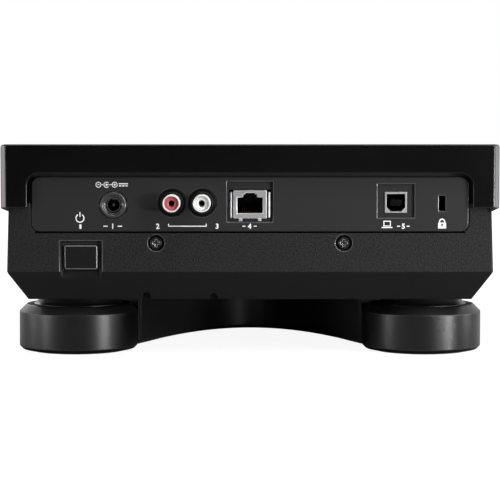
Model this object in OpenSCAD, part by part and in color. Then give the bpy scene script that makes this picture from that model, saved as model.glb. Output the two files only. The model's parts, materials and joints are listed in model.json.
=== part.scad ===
// Tabletop DJ CD player: a wedge-shaped deck on four round feet, with a slot-loading
// disc drive, a jog wheel, a tempo fader and a row of sockets along the back.
// Millimetres. +Z is up, the player's front faces -Y and its sockets face +Y.
// The origin is on the table, under the middle of the deck.

/* [Case] */
// Width of the upper case
case_w = 230; // [200:1:280]
// Depth of the upper case
case_d = 296; // [280:1:340]
// Height of the upper case's back edge above the table
back_h = 99.2; // [95:0.1:115]
// Height of the upper case's front edge above the table
front_h = 70.7; // [68:0.1:80]
// Height of the upper case's side walls
side_h = 29.4; // [27:0.1:33]
// Wall thickness of both cases
wall = 2.6; // [2:0.1:3]
// Width of the flat on the upper case's upright corners
corner_cut = 2.6; // [1:0.1:5]
// Width of the flat along the control panel's edges
edge_cut = 0.8; // [0.4:0.1:1.6]
// Drop of the bevelled lip under the upper case's side walls
lip_drop = 1.9; // [1:0.1:2.4]
// Height of the lower case's flat bottom above the table
floor_h = 26.6; // [22:0.1:28]
// Height at which the lower case's walls bend in towards its bottom
bend_h = 40.1; // [36:0.1:41]
// How far the bottom bevel of the lower case runs in
bevel_in = 9; // [6:0.1:12]
// Width of the lower case at the bend
tub_w = 225.2; // [190:0.1:226]
// Narrowing of each side of the lower case from the bend to the seam
tub_draft = 1.1; // [0:0.1:1.5]
// Step from the upper case in to the lower case, front and back
tub_step = 3; // [3:0.1:5]
// Height of the lower case's rim inside the upper case
rim_h = 2.5; // [1.5:0.1:4]
// Clearance between pieces that lie beside each other
gap = 0.3; // [0.2:0.05:0.4]
// Radial clearance of a shaft that turns or slides in its bore
run_gap = 0.05; // [0.02:0.01:0.1]

/* [Feet and base] */
// Distance between the left and right feet
feet_across = 165; // [150:1:170]
// Distance of a foot's centre from the case's front or back
foot_in = 40; // [38:1:60]
// Radius of a foot
foot_r = 28.4; // [20:0.1:30]
// Height of the top of a foot above the table
foot_h = 22.3; // [18:0.1:22.5]
// Width of the bevel round the top of a foot
foot_bevel = 3.5; // [1:0.1:5]
// Width of the bevel round the bottom of a foot
foot_toe = 2.4; // [1:0.1:4]
// Radius of the neck between a foot and the lower case
neck_r = 15.8; // [10:0.1:18]
// Radius of the rubber pad under a foot
pad_r = 23; // [15:0.5:24]
// Thickness of the rubber pad
pad_t = 2.5; // [1.5:0.1:4]
// How far the pad stands out of the foot
pad_out = 0.8; // [0.4:0.1:1.2]
// Depth of the base's back and front bays, from the case's end to the bay's end
bay_depth = 115; // [90:1:120]
// Focal width of the back and front bays' parabola
bay_width = 38.5; // [30:0.5:45]
// Distance of the side bays' ends from the middle line
waist_x = 38; // [30:1:45]
// Focal width of the side bays' parabola
waist_width = 168; // [120:1:200]
// Height of the base's underside above the table
base_clear = 1.9; // [1.5:0.1:8]
// Width of the bevel along the base's lower edge
base_bevel = 1.5; // [0.5:0.1:2.5]
// Wall thickness of the base
base_wall = 3; // [2:0.1:4]

/* [Back panel] */
// Width of the jack panel
panel_w = 202; // [196:0.5:204]
// Height of the jack panel's lower edge above the table
panel_low = 58.7; // [57.6:0.1:60]
// Height of the jack panel's upper edge above the table
panel_high = 84.1; // [83:0.1:86]
// Radius of the jack panel's corners
panel_r = 4; // [2:0.1:6]
// Gap between the jack panel and the upper case's cut-out
panel_gap = 1.6; // [0.8:0.1:2]
// Thickness of the plate that backs the jack panel
plate_t = 1.6; // [1.2:0.1:2]
// Height of the middle of the round sockets above the table
jack_z = 72.1; // [71:0.1:73]
// Place of the right-channel phono socket
rca_right_x = 36; // [34:0.1:38]
// Distance between the two phono sockets
rca_pitch = 13.9; // [13.6:0.1:15]
// Outer radius of a phono socket's sleeve
rca_r = 4.15; // [4.1:0.01:4.2]
// Radius of a phono socket's coloured core
core_r = 2.9; // [2.6:0.05:3.2]
// Radius of the hole in the core
rca_bore_r = 1.65; // [1.6:0.01:1.75]
// How far a phono socket's sleeve stands out of the panel
rca_out = 9; // [7:0.1:10]
// Radius of the collar round a phono or power socket
collar_r = 6.5; // [6:0.1:6.7]
// Place of the power inlet
dc_x = 63.1; // [60:0.1:66]
// Radius of the power inlet's hole
dc_hole_r = 2.95; // [2.75:0.05:3.2]
// Radius of the power inlet's pin
dc_pin_r = 1.05; // [0.9:0.05:1.25]
// Depth of the power inlet's hole
dc_depth = 9.5; // [8:0.1:11]
// Place of the square data socket
usb_b_x = -67.4; // [-70:0.1:-62]
// Place of the security slot
lock_x = -88.7; // [-90:0.1:-84]
// Width of the security slot
lock_w = 3; // [2.8:0.1:3.2]
// Height of the security slot
lock_h = 7.1; // [6.8:0.1:7.4]
// Distance between the two screws below the jack panel
screws_across = 86.8; // [80:0.1:94]
// Height of those screws above the table
screw_z = 53.5; // [52:0.1:54]
// Radius of a screw's head
head_r = 3.2; // [2.6:0.1:3.4]
// Radius of a screw's shank
shank_r = 1.4; // [1.2:0.1:1.5]
// Place of the power button
power_x = 78.2; // [75:0.1:80]
// Height of the power button's middle above the table
power_z = 46.8; // [46.5:0.1:47.5]
// Width of the power button
power_w = 15.3; // [12:0.1:16]
// Height of the power button
power_h = 11.2; // [9:0.1:11.4]
// Depth of the recess round the power button
power_recess = 2.2; // [1:0.1:2.4]
// Travel of the power button
power_travel = 2; // [1:0.1:3]

/* [Controls] */
// Distance of the jog wheel's centre from the back edge, along the panel
jog_v = 190; // [185:1:195]
// Radius of the jog wheel
jog_r = 68; // [60:0.5:70]
// Height of the jog wheel above the panel
jog_h = 8; // [6:0.1:9]
// Radius of the jog wheel's metal top plate
jog_plate_r = 50; // [40:0.5:54]
// Radius of the jog wheel's shaft
jog_shaft_r = 4; // [3:0.1:6]
// Number of flutes round the jog wheel
flutes = 60; // [40:1:72]
// Distance of the display's middle from the back edge
display_v = 53; // [50:1:54]
// Place of the display's middle across the panel
display_x = -20; // [-24:1:-16]
// Width of the display's glass
display_w = 116; // [100:1:118]
// Length of the display's glass
display_l = 62; // [50:1:64]
// Place of the tempo fader and of the right column of controls
fader_x = 84; // [83:0.5:85]
// Distance of the tempo fader's middle from the back edge
fader_v = 196; // [194:1:198]
// Travel of the tempo fader to each side of its middle
fader_travel = 28; // [20:1:30]
// Radius of the browse knob
knob_r = 9; // [6:0.5:10]
// Height of the browse knob
knob_h = 7.8; // [5:0.1:8]
// Distance of the browse knob from the back edge
knob_v = 112; // [108:1:116]
// Radius of the browse knob's shaft
knob_shaft_r = 3; // [2:0.1:3.5]
// Travel of every push button on the panel, and of the browse knob
press = 0.8; // [0.4:0.1:1]
// Height of a small button above the panel
button_h = 1.6; // [1.2:0.1:2.4]
// Height of the play and cue buttons above the panel
big_button_h = 2.2; // [1.6:0.1:3]
// Place of the left column of buttons
column_x = -83; // [-84:0.5:-82]
// Radius of the play and cue buttons
big_button_r = 9; // [7:0.5:10]
// Length of a small button, along the panel
small_l = 7; // [5:0.5:8]
// Width of a button in the row below the display
row_w = 12; // [8:0.5:13]
// Distance of that row from the back edge
row_v = 104; // [102:1:106]
// Width of each of two buttons that stand side by side
pair_w = 10; // [7:0.5:10.5]
// Distance between the middles of two such buttons
pair_pitch = 12; // [11:0.5:12]
// Distance of the search buttons from the back edge
search_v = 136; // [132:1:140]
// Distance of the track buttons from the back edge
track_v = 156; // [150:1:164]
// Distance of the cue button from the front edge
cue_in = 72; // [68:1:80]
// Distance of the play button from the front edge
play_in = 44; // [30:1:46]
// Distance of the tempo buttons from the front edge
tempo_in = 34; // [32:1:38]
// Distance of the eject button from the front edge
eject_in = 17; // [12:1:20]
// Width of the eject button
eject_w = 18; // [12:0.5:20]

/* [Disc drive] */
// Diameter of a disc
disc_d = 120; // [120:1:120]
// Height of a loading disc above the table
disc_z = 52; // [51.5:0.1:52.5]
// Width of the disc slot
slot_w = 126; // [124:1:128]
// Height of the disc slot
slot_h = 5.2; // [5.1:0.1:5.6]
// Width of the drive
drive_w = 140; // [138:1:144]
// Depth of the drive
drive_d = 158; // [156:1:164]
// Length of the bezel's throat, from the front wall to the drive
throat_l = 11; // [10:0.5:14]
// Sheet thickness of the drive
sheet = 1.6; // [1.2:0.1:2]
// Distance of the spindle from the deck's front
spindle_in = 82; // [81:0.5:84]
// Angle through which the traverse lifts the spindle
lift_angle = 3.5; // [2.5:0.1:3.5]
// Travel of the optical pickup
pickup_travel = 34; // [28:1:36]
// Radius of the feed roller
roller_r = 4; // [3:0.1:4.2]

/* [Hidden] */
$fn = 64;

// How far the phono sockets stand out behind the upper case, which sets the middle
jack_proud = rca_out - tub_step;
rear_y = (case_d - jack_proud) / 2;
slope = atan2(back_h - front_h, case_d);
front_y = rear_y - case_d;
mid_y = (rear_y + front_y) / 2;
panel_y = rear_y - tub_step;
tub_front = front_y + tub_step;
plate_y = panel_y - wall - gap;
behind_y = plate_y - plate_t;

// Height of the panel's surface and of the seam at a place y
function panel_z(y) = back_h - (rear_y - y) * tan(slope);
function seam_z(y) = panel_z(y) - side_h;

// The bottom bevel's angle, and what a wall of thickness t takes off its corners
bevel_angle = atan2(bend_h - floor_h, bevel_in);
function floor_corner(t) = t * tan(bevel_angle / 2);
function bend_corner(t) = t * tan((90 - bevel_angle) / 2);

// Depths below the panel's surface
flange_t = 1.5;
stem_h = 3.6;
board_t = 1.6;
flange_top = wall + gap;
stem_end = flange_top + flange_t + stem_h;
switch_top = stem_end + press + gap;
switch_h = 3.5;
board_top = switch_top + switch_h;

feet = [for (sx = [-1, 1], sy = [-1, 1]) [sx * feet_across / 2, mid_y + sy * (case_d / 2 - foot_in)]];
foot_names = ["foot_front_left", "foot_rear_left", "foot_front_right", "foot_rear_right"];
boss_x = 98.5;
boss_r = 3.8;
boss_in = 57;
boss_y = [front_y + boss_in - 2, mid_y - 1, rear_y - boss_in];
boss_split = 47;
boss_bite = 9;
rib_t = 2;
rib_h = 3;
pilot_r = shank_r + run_gap;

// Places and sizes in the disc drive
bezel_w = slot_w + 8;
bezel_h = slot_h + 5;
bezel_lip = 2.5;
drive_z = 31;
drive_front = front_y + wall + throat_l;
drive_back = drive_front + drive_d;
drive_top = disc_z + 7;
drive_pad_x = drive_w / 2 - 8;
drive_pad_r = 5;
drive_pads_y = [drive_front + 10, drive_back - 10];
spindle_y = front_y + spindle_in;
pivot_y = spindle_y + 81;
pivot_z = 42;
pivot_r = 2;
ear_x = 45.5;
ear_t = 2.4;
axle_r = 1.5;
rod_x = 24;
rod_z = 44.5;
rod_r = 1.5;
rail_y = [spindle_y + 9, spindle_y + 72];
screw_x = -33;
motor_x = -54.3;
motor_r = 7;
post_y = [drive_front + 14, drive_back - 6];
roller_y = drive_front + 8;
roller_z = disc_z - slot_h / 2 - 0.2 - roller_r;
tray_z = 39.4;
tray_x = ear_x - 4.5;

// Push buttons: name, place across, distance from the back edge, width, length, height
left = -pair_pitch / 2;
right = pair_pitch / 2;
big_d = 2 * big_button_r;
buttons = [
    ["loop_in_button", -60, row_v, row_w, small_l, button_h],
    ["loop_out_button", -44, row_v, row_w, small_l, button_h],
    ["loop_exit_button", -28, row_v, row_w, small_l, button_h],
    ["back_button", 20, row_v, row_w, small_l, button_h],
    ["menu_button", 36, row_v, row_w, small_l, button_h],
    ["sync_button", 60, row_v, row_w, small_l, button_h],
    ["search_back_button", column_x + left, search_v, pair_w, small_l, button_h],
    ["search_forward_button", column_x + right, search_v, pair_w, small_l, button_h],
    ["track_back_button", column_x + left, track_v, pair_w, small_l, button_h],
    ["track_forward_button", column_x + right, track_v, pair_w, small_l, button_h],
    ["master_tempo_button", fader_x + left, case_d - tempo_in, pair_w, small_l, button_h],
    ["tempo_range_button", fader_x + right, case_d - tempo_in, pair_w, small_l, button_h],
    ["eject_button", fader_x, case_d - eject_in, eject_w, small_l, button_h],
    ["cue_button", column_x, case_d - cue_in, big_d, big_d, big_button_h],
    ["play_button", column_x, case_d - play_in, big_d, big_d, big_button_h],
];

// ---- Helpers ----

// Places things on the sloping panel: x across, v from the back edge, +Z out of it
module on_panel(x = 0, v = 0) {
    translate([0, rear_y, back_h]) rotate([slope, 0, 0]) translate([x, -v, 0]) children();
}

// Extrudes a side view, drawn as [y, z], across the width w
module across(w) {
    rotate([90, 0, 90]) linear_extrude(w, center = true) children();
}

// Extrudes a front view, drawn as [x, z], from y0 to y1
module along(y0, y1) {
    translate([0, y1, 0]) rotate([90, 0, 0]) linear_extrude(y1 - y0) children();
}

module block(x0, x1, y0, y1, z0, z1) {
    translate([x0, y0, z0]) cube([x1 - x0, y1 - y0, z1 - z0]);
}

module round_rect(w, l, r) {
    square([w - 2 * r, l], center = true);
    square([w, l - 2 * r], center = true);
    for (sx = [-1, 1], sy = [-1, 1]) translate([sx * (w / 2 - r), sy * (l / 2 - r)]) circle(r);
}

// A screw with a pan head on top, pointing down from the origin
module pan_screw(length, r_head = head_r, head_t = 1.5) {
    difference() {
        union() {
            cylinder(h = head_t, r1 = r_head, r2 = r_head * 0.8);
            translate([0, 0, -length]) cylinder(h = length + 0.1, r = shank_r);
        }
        for (a = [0, 90]) rotate(a) translate([0, 0, head_t]) cube([r_head, 0.7, 1.6], center = true);
    }
}

// Turns +Z so that it points out of the back panel
module out_of_back(x, y, z) {
    translate([x, y, z]) rotate([-90, 0, 0]) children();
}

// ---- Cases and base ----

// Outer form of the lower case, with t taken off all round
module tub_form(t, top) {
    half = tub_w / 2 - t;
    draft = tub_draft * (back_h - bend_h) / (seam_z(rear_y) - bend_h);
    front = tub_front + t;
    back = panel_y - t;
    low = floor_h + t;
    bend = bend_h + bend_corner(t);
    run = bevel_in + floor_corner(t) - t;
    intersection() {
        across(case_w) polygon([
            [front + run, low], [back - run, low], [back, bend],
            [back, seam_z(back) + top], [front, seam_z(front) + top], [front, bend],
        ]);
        along(front, back) polygon([
            [run - half, low], [half - run, low], [half, bend],
            [half - draft, back_h], [draft - half, back_h], [-half, bend],
        ]);
    }
}

// The half-round cable notches along the bevel's lower edge
notch_x = [48.3, 16.95];
notch_r = 1.8;
notch_z = [1.7, 1.2];

module power_pocket() {
    flare = 1.2;
    half_floor = power_w / 2 + 1;
    along(panel_y - power_recess - 1, panel_y - power_recess + 0.01)
        translate([power_x, power_z]) square([power_w + 2 * gap, power_h + 2 * gap], center = true);
    rotate([180, 0, 0]) translate([0, 0, -power_z - power_h / 2 - 2.1]) linear_extrude(20)
        polygon([
            [power_x - half_floor, -panel_y + power_recess],
            [power_x - half_floor - flare, -panel_y - 0.1],
            [power_x + half_floor + flare, -panel_y - 0.1],
            [power_x + half_floor, -panel_y + power_recess],
        ]);
}

// A post that stands in the lower case's floor and reaches up to top
module floor_post(x, y, top, r) {
    root = floor_h + wall / 2;
    translate([x, y, root]) cylinder(h = top - root, r = r);
}

module lower_case() {
    pad = 24;
    color("#1c1c1e") difference() {
        union() {
            difference() {
                tub_form(0, rim_h);
                tub_form(wall, side_h);
            }
            // backing behind the power button's recess
            intersection() {
                tub_form(0, 0);
                translate([power_x - pad / 2, panel_y - wall - power_recess, floor_h])
                    cube([pad, power_recess + 0.1, power_z + power_h / 2 + 4 - floor_h]);
            }
            // backing behind the cable notches
            intersection() {
                tub_form(0, 0);
                for (x = notch_x)
                    block(x - 3.5, x + 3.5, panel_y - bevel_in - 5, panel_y, floor_h, floor_h + 6);
            }
            // bosses for the case screws, and pads under the drive and the main board
            for (sx = [-1, 1], y = boss_y) floor_post(sx * boss_x, y, boss_split - gap, boss_r);
            for (sx = [-1, 1], y = drive_pads_y) floor_post(sx * drive_pad_x, y, drive_z, drive_pad_r);
            for (p = board_posts) floor_post(p[0], p[1], main_board_z, board_post_r);
        }
        // corners of the upright walls
        for (sx = [-1, 1], y = [tub_front, panel_y]) translate([sx * tub_w / 2, y, floor_h - 1])
            rotate(45) cube([tub_corner, tub_corner, 2 * back_h], center = true);
        // room for the slot bezel
        along(front_y, drive_front) translate([0, disc_z - bezel_h / 2 - bezel_lip - gap + back_h / 2])
            square([bezel_w + 2 * bezel_lip + 2 * gap, back_h], center = true);
        // notch for the jack panel
        along(panel_y - wall - 1, panel_y + 1) {
            translate([0, (panel_low + panel_high) / 2])
                round_rect(panel_w + 2 * gap, panel_high - panel_low + 2 * gap, panel_r + gap);
            translate([0, back_h]) square([panel_w + 2 * gap, 2 * (back_h - jack_z)], center = true);
        }
        // recess and hole for the power button
        power_pocket();
        along(panel_y - wall - power_recess - 1, panel_y)
            translate([power_x, power_z]) square([power_w + 2 * gap, power_h + 2 * gap], center = true);
        // counterbored holes for the panel screws
        for (sx = [-1, 1]) out_of_back(sx * screws_across / 2, panel_y, screw_z) {
            translate([0, 0, -wall + 1]) cylinder(h = wall, r = head_r + 0.6);
            translate([0, 0, -wall - 1]) cylinder(h = wall + 1, r = shank_r + gap);
        }
        for (i = [0, 1]) translate([notch_x[i], panel_y - bevel_in - 2, floor_h + notch_z[i]])
            rotate([-90, 0, 0]) {
                cylinder(h = bevel_in + 2, r = notch_r);
                translate([-notch_r, 0, 0]) cube([2 * notch_r, 2 * notch_r, bevel_in + 2]);
            }
        // case screws from below, with their heads sunk in the bottom
        for (sx = [-1, 1], y = boss_y) translate([sx * boss_x, y, floor_h - 1]) {
            cylinder(h = 100, r = shank_r + gap);
            cylinder(h = 1 + head_sink, r = case_head_r + gap);
        }
        // foot screws
        for (p = feet) translate([p[0], p[1], floor_h - 1]) cylinder(h = 50, r = pilot_r);
    }
}

case_head_r = 2.7;
head_sink = 4;
tub_corner = 1.7;

module upper_case() {
    half = case_w / 2;
    low = -side_h * cos(slope);
    color("#131314") difference() {
        union() {
            difference() {
                intersection() {
                    // plan, with cut corners
                    linear_extrude(2 * back_h) polygon([
                        [corner_cut - half, front_y], [half - corner_cut, front_y],
                        [half, front_y + corner_cut], [half, rear_y - corner_cut],
                        [half - corner_cut, rear_y], [corner_cut - half, rear_y],
                        [-half, rear_y - corner_cut], [-half, front_y + corner_cut],
                    ]);
                    // side view
                    across(case_w) polygon([
                        [front_y, seam_z(front_y)], [rear_y, seam_z(rear_y)],
                        [rear_y, back_h - edge_cut], [rear_y - edge_cut, panel_z(rear_y - edge_cut)],
                        [front_y + edge_cut, panel_z(front_y + edge_cut)], [front_y, front_h - edge_cut],
                    ]);
                    // front view, along the slope
                    on_panel(0, case_d / 2) along(-case_d, case_d) polygon([
                        [-half, 2 * low], [half, 2 * low], [half, -edge_cut],
                        [half - edge_cut, 0], [edge_cut - half, 0], [-half, -edge_cut],
                    ]);
                }
                inner_y = [front_y + wall, rear_y - wall];
                across(case_w - 2 * wall) polygon([
                    [inner_y[0], -1], [inner_y[1], -1],
                    [inner_y[1], panel_z(inner_y[1]) - wall], [inner_y[0], panel_z(inner_y[0]) - wall],
                ]);
            }
            // bevelled lips along the sides, up to the lower case
            for (s = [0, 1]) mirror([s, 0, 0]) intersection() {
                on_panel(0, case_d / 2) along(-case_d, case_d) polygon([
                    [half, low], [half - 4.7, low - lip_drop], [half - 4.7, low - lip_drop + wall],
                    [half - wall - 0.1, low + wall], [half - wall / 2, low + wall],
                ]);
                block(0, case_w, front_y + corner_cut, rear_y - corner_cut, 0, back_h);
            }
            // screw bosses, down to the lower case's
            for (sx = [-1, 1], y = boss_y) translate([sx * boss_x, y, boss_split])
                cylinder(h = panel_z(y) - wall / 2 - boss_split, r = boss_r);
            // ribs that stiffen the panel before and behind the jog wheel's bearing
            for (v = [jog_v - jog_r / 2, jog_v + jog_r / 2]) on_panel(0, v)
                translate([-jog_r, -rib_t / 2, -wall - rib_h]) cube([2 * jog_r, rib_t, rib_h + 0.2]);
        }
        tub_form(-gap, rim_h + gap);
        // cut-out for the jack panel
        along(rear_y - wall - 1, rear_y + 1) {
            translate([0, (panel_low + panel_high) / 2]) round_rect(panel_w + 2 * panel_gap,
                panel_high - panel_low + 2 * panel_gap, panel_r + panel_gap);
        }
        for (sx = [-1, 1], y = boss_y) translate([sx * boss_x, y, boss_split - 1])
            cylinder(h = boss_bite + 4, r = pilot_r);
        // disc slot
        along(front_y - 1, front_y + wall + 1) translate([0, disc_z])
            round_rect(bezel_w + 2 * gap, bezel_h + 2 * gap, bezel_h / 2);
        // display, jog bearing, fader, knob and data socket
        on_panel(display_x, display_v) {
            translate([0, 0, -glass_t]) linear_extrude(glass_t + 1)
                round_rect(display_w + 2 * gap, display_l + 2 * gap, 3);
            translate([0, 0, -wall - 1]) linear_extrude(wall + 2)
                round_rect(display_w - 8, display_l - 8, 1);
        }
        on_panel(0, jog_v) translate([0, 0, -wall - 4]) cylinder(h = wall + 5, r = jog_boss_r + gap);
        on_panel(fader_x, fader_v) translate([0, 0, -wall - 1]) linear_extrude(wall + 2)
            round_rect(fader_stem_w + 4 * gap, 2 * fader_travel + fader_stem_l + 4 * gap, 1);
        on_panel(fader_x, knob_v) translate([0, 0, -wall - 1])
            cylinder(h = wall + 2, r = knob_shaft_r + 2 * gap);
        on_panel(fader_x, usb_a_v) translate([0, 0, -wall - 1]) linear_extrude(wall + 2)
            round_rect(usb_a_w + 2 * gap, usb_a_l + 2 * gap, 0.6);
        for (b = buttons) on_panel(b[1], b[2]) translate([0, 0, -wall - 1]) linear_extrude(wall + 2)
            round_rect(b[3] + 2 * gap, b[4] + 2 * gap, button_corner(b) + gap);
    }
}

// Points of the plan of a bay: a parabola whose walls stand off by t, closer set at its end
function bay(depth, width, reach, t) = [
    for (i = [-20:20]) let (
        x = reach * i / 20 * (0.4 + 0.6 * abs(i) / 20),
        n = [2 * x / width, 1] / norm([2 * x / width, 1])
    ) [x, x * x / width - depth] + t * [n[0], -n[1]]
];

// A bay cut through the base, with the bevel along its lower edge
module bay_cut(depth, width, reach) {
    translate([0, 0, base_clear - 1]) linear_extrude(floor_h) polygon(bay(depth, width, reach, 0));
    hull() {
        translate([0, 0, base_clear + base_bevel]) linear_extrude(0.01) polygon(bay(depth, width, reach, 0));
        translate([0, 0, base_clear - 0.01]) linear_extrude(0.01)
            polygon(bay(depth, width, reach, base_bevel + 0.01));
    }
}

module riser_base() {
    arm_x = feet_across / 2;
    arm_y = case_d / 2 - foot_in;
    end_reach = arm_x;
    side_reach = arm_y + 3;
    socket_r = foot_r + gap;
    color("#161617") translate([0, mid_y, 0]) difference() {
        block(-arm_x, arm_x, -arm_y, arm_y, base_clear, floor_h);
        for (a = [0, 180]) rotate(a) {
            translate([0, case_d / 2, 0]) bay_cut(bay_depth, bay_width, end_reach);
            rotate(-90) translate([0, waist_x, 0]) bay_cut(0, waist_width, side_reach);
        }
        // hollow, open to the lower case
        translate([0, 0, base_clear + base_wall]) linear_extrude(floor_h) difference() {
            square([2 * arm_x, 2 * arm_y], center = true);
            for (a = [0, 180]) rotate(a) {
                translate([0, case_d / 2]) polygon(bay(bay_depth, bay_width, end_reach, base_wall));
                rotate(-90) translate([0, waist_x]) polygon(bay(0, waist_width, side_reach, base_wall));
            }
            for (p = feet) translate([p[0], p[1] - mid_y]) circle(socket_r + base_wall);
            // ribs
            for (a = [-1, 1]) rotate(a * atan2(arm_y, arm_x)) square([4 * arm_y, rib_t], center = true);
            square([rib_t, 4 * arm_y], center = true);
        }
        for (p = feet) translate([p[0], p[1] - mid_y, 0]) cylinder(h = floor_h + 1, r = socket_r);
    }
}

foot_web = 4;
foot_hole_r = 4;

module foot(i) {
    low = pad_out;
    color("#202022") translate([feet[i][0], feet[i][1], 0]) rotate_extrude() polygon([
        [foot_hole_r, pad_t], [pad_r + run_gap, pad_t], [pad_r + run_gap, low],
        [foot_r - foot_toe + low, low], [foot_r, foot_toe], [foot_r, foot_h - foot_bevel],
        [foot_r - foot_bevel, foot_h], [neck_r, foot_h], [neck_r, floor_h],
        [pilot_r + gap, floor_h], [pilot_r + gap, foot_h - foot_web], [foot_hole_r, foot_h - foot_web],
    ]);
}

module foot_pads() {
    color("#0c0c0c") for (p = feet) translate([p[0], p[1], 0]) difference() {
        cylinder(h = pad_t, r = pad_r);
        translate([0, 0, -1]) cylinder(h = pad_t + 2, r = foot_hole_r);
    }
}

// ---- Back panel and its sockets ----

// The sockets stand on the jack board, which sets their heights
jack_board_z = jack_z - 10.1;
socket_sink = 0.8;
dc_z = jack_z - 1;
lock_z = jack_z - 0.3;
network_w = 15.5;
network_z = [jack_board_z + 2.7, jack_board_z + 15.8];
port_w = 11.65;
port_z = network_z[0] + 2.6;
port_h = 7.2;
usb_b_w = 10.2;
usb_b_h = 9.65;
usb_b_z = jack_board_z + 5.45;
usb_b_skin = 0.65;
backing_side = 4.5;
backing_drop = 2.2;

// Window in the jack panel round a socket, drawn as [x, z]
module window(x, low, w, h) {
    translate([x - w / 2, low]) square([w, h]);
}

module lock_slot() {
    window(lock_x, lock_z - lock_h / 2, lock_w, lock_h);
}

module jack_panel() {
    mid = (panel_low + panel_high) / 2;
    boss_l = 5;
    color("#2b2b2d") difference() {
        union() {
            along(plate_y - 0.1, panel_y) translate([0, mid])
                round_rect(panel_w, panel_high - panel_low, panel_r);
            // backing plate behind both cases, and the tongue that takes the screws
            along(behind_y, plate_y) {
                window(0, panel_low - backing_drop, panel_w + 2 * backing_side, panel_high - panel_low + 5.2);
                window(0, screw_z - 6.4, screws_across + 16, panel_low - screw_z + 8.8);
            }
            for (sx = [-1, 1]) out_of_back(sx * screws_across / 2, behind_y - boss_l, screw_z)
                cylinder(h = boss_l + 0.1, r = shank_r + 2);
        }
        for (sx = [-1, 1]) out_of_back(sx * screws_across / 2, behind_y - boss_l - 1, screw_z)
            cylinder(h = boss_l + 7, r = pilot_r);
        for (p = [[rca_x[0], jack_z], [rca_x[1], jack_z], [dc_x, dc_z]]) out_of_back(p[0], behind_y - 1, p[1])
            cylinder(h = 20, r = collar_r + run_gap);
        along(behind_y - 1, panel_y + 1) {
            window(0, network_z[0] - 1.5, network_w + 5.7, 18.7);
            window(usb_b_x, usb_b_z - 2.3, usb_b_w + 6.8, usb_b_h + 5.95);
            lock_slot();
        }
    }
}

module dc_inlet() {
    throat = 2.5;
    color("#191919") translate([dc_x, panel_y, dc_z]) rotate([-90, 0, 0]) difference() {
        union() {
            translate([0, 0, behind_y - panel_y - 0.1]) cylinder(h = panel_y - behind_y + 0.1, r = collar_r);
            translate([-5.5, -6, -16]) cube([11, dc_z - jack_board_z + 6, 16 + behind_y - panel_y]);
        }
        translate([0, 0, -throat]) cylinder(h = throat + 0.01, r1 = dc_hole_r + 0.8, r2 = collar_r - 0.4);
        difference() {
            translate([0, 0, -throat - dc_depth]) cylinder(h = dc_depth + 1, r = dc_hole_r);
            translate([0, 0, -throat - dc_depth - 1]) cylinder(h = dc_depth, r = dc_pin_r);
        }
    }
}

module phono_housing() {
    depth = 11;
    color("#141414") difference() {
        union() {
            for (x = rca_x) out_of_back(x, behind_y - 0.1, jack_z)
                cylinder(h = panel_y - behind_y + 0.1, r = collar_r);
            block(rca_x[1] - 7, rca_x[0] + 7, behind_y - depth, behind_y, jack_board_z, jack_z + 7.5);
        }
        for (x = rca_x) out_of_back(x, panel_y, jack_z) {
            translate([0, 0, -sleeve_in]) cylinder(h = 6, r = sleeve_root_r + run_gap);
            translate([0, 0, -9]) cylinder(h = 10, r = core_r + run_gap);
        }
    }
}

rca_x = [rca_right_x, rca_right_x - rca_pitch];
sleeve_in = 5;
sleeve_root_r = rca_r - 0.25;

module phono_sleeves() {
    color("#c9c9c4") for (x = rca_x) out_of_back(x, panel_y, jack_z) difference() {
        union() {
            cylinder(h = rca_out, r = rca_r);
            translate([0, 0, -sleeve_in]) cylinder(h = sleeve_in + 1, r = sleeve_root_r);
        }
        translate([0, 0, -sleeve_in - 1]) cylinder(h = rca_out + sleeve_in + 2, r = core_r + run_gap);
    }
}

module phono_core(x, tint) {
    length = rca_out + 8;
    color(tint) out_of_back(x, panel_y - 9, jack_z) difference() {
        cylinder(h = length, r = core_r);
        translate([0, 0, 4]) cylinder(h = length, r = rca_bore_r);
    }
}

module network_socket() {
    depth = 16;
    leaf = 0.9;
    leaf_x = network_w / 2 + 1.1;
    front = panel_y - socket_sink;
    low = network_z[0];
    half = network_w / 2;
    top = port_z + port_h;
    color("#b9bbbd") difference() {
        union() {
            block(-half, half, front - depth, front, low, network_z[1]);
            block(-half, half, front - depth, behind_y - gap, jack_board_z, low + 1);
            // earthing springs at its sides
            for (s = [-1, 1]) translate([s * leaf_x, front, low + 0.3]) {
                translate([-leaf / 2, -9, 0]) cube([leaf, 9, 12.1]);
                translate([-s * 0.65 - 0.7, -10, 0]) cube([1.4, 3, 12.1]);
            }
        }
        // opening, with the stepped notch for the plug's latch
        along(front - 13, front + 1) {
            window(0, port_z, port_w, port_h);
            window(0, top - 1, 6.3, 2.35);
            window(0, top - 1, 4.2, 3.1);
        }
    }
}

module usb_b_socket() {
    depth = 14;
    nick = 1.9;
    front = panel_y - socket_sink;
    low = usb_b_z + usb_b_skin;
    top = usb_b_z + usb_b_h - 1;
    half = usb_b_w / 2 - 0.875;
    mid = (low + top) / 2;
    color("#b4b6b8") translate([usb_b_x, 0, 0]) {
        difference() {
            union() {
                block(-usb_b_w / 2, usb_b_w / 2, front - depth, front, usb_b_z, usb_b_z + usb_b_h);
                block(-5, 5, front - depth, behind_y - gap, jack_board_z, usb_b_z + 1);
            }
            along(front - 10, front + 1) polygon([
                [-half, top], [half, top], [half, low + nick],
                [half - nick, low], [nick - half, low], [-half, low + nick],
            ]);
        }
        // tongue
        block(-2.6, 2.6, front - 10.1, front - 1, mid - 1.25, mid + 1.25);
    }
}

usb_a_v = 36;
usb_a_w = 13.2;
usb_a_l = 5.8;

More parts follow.
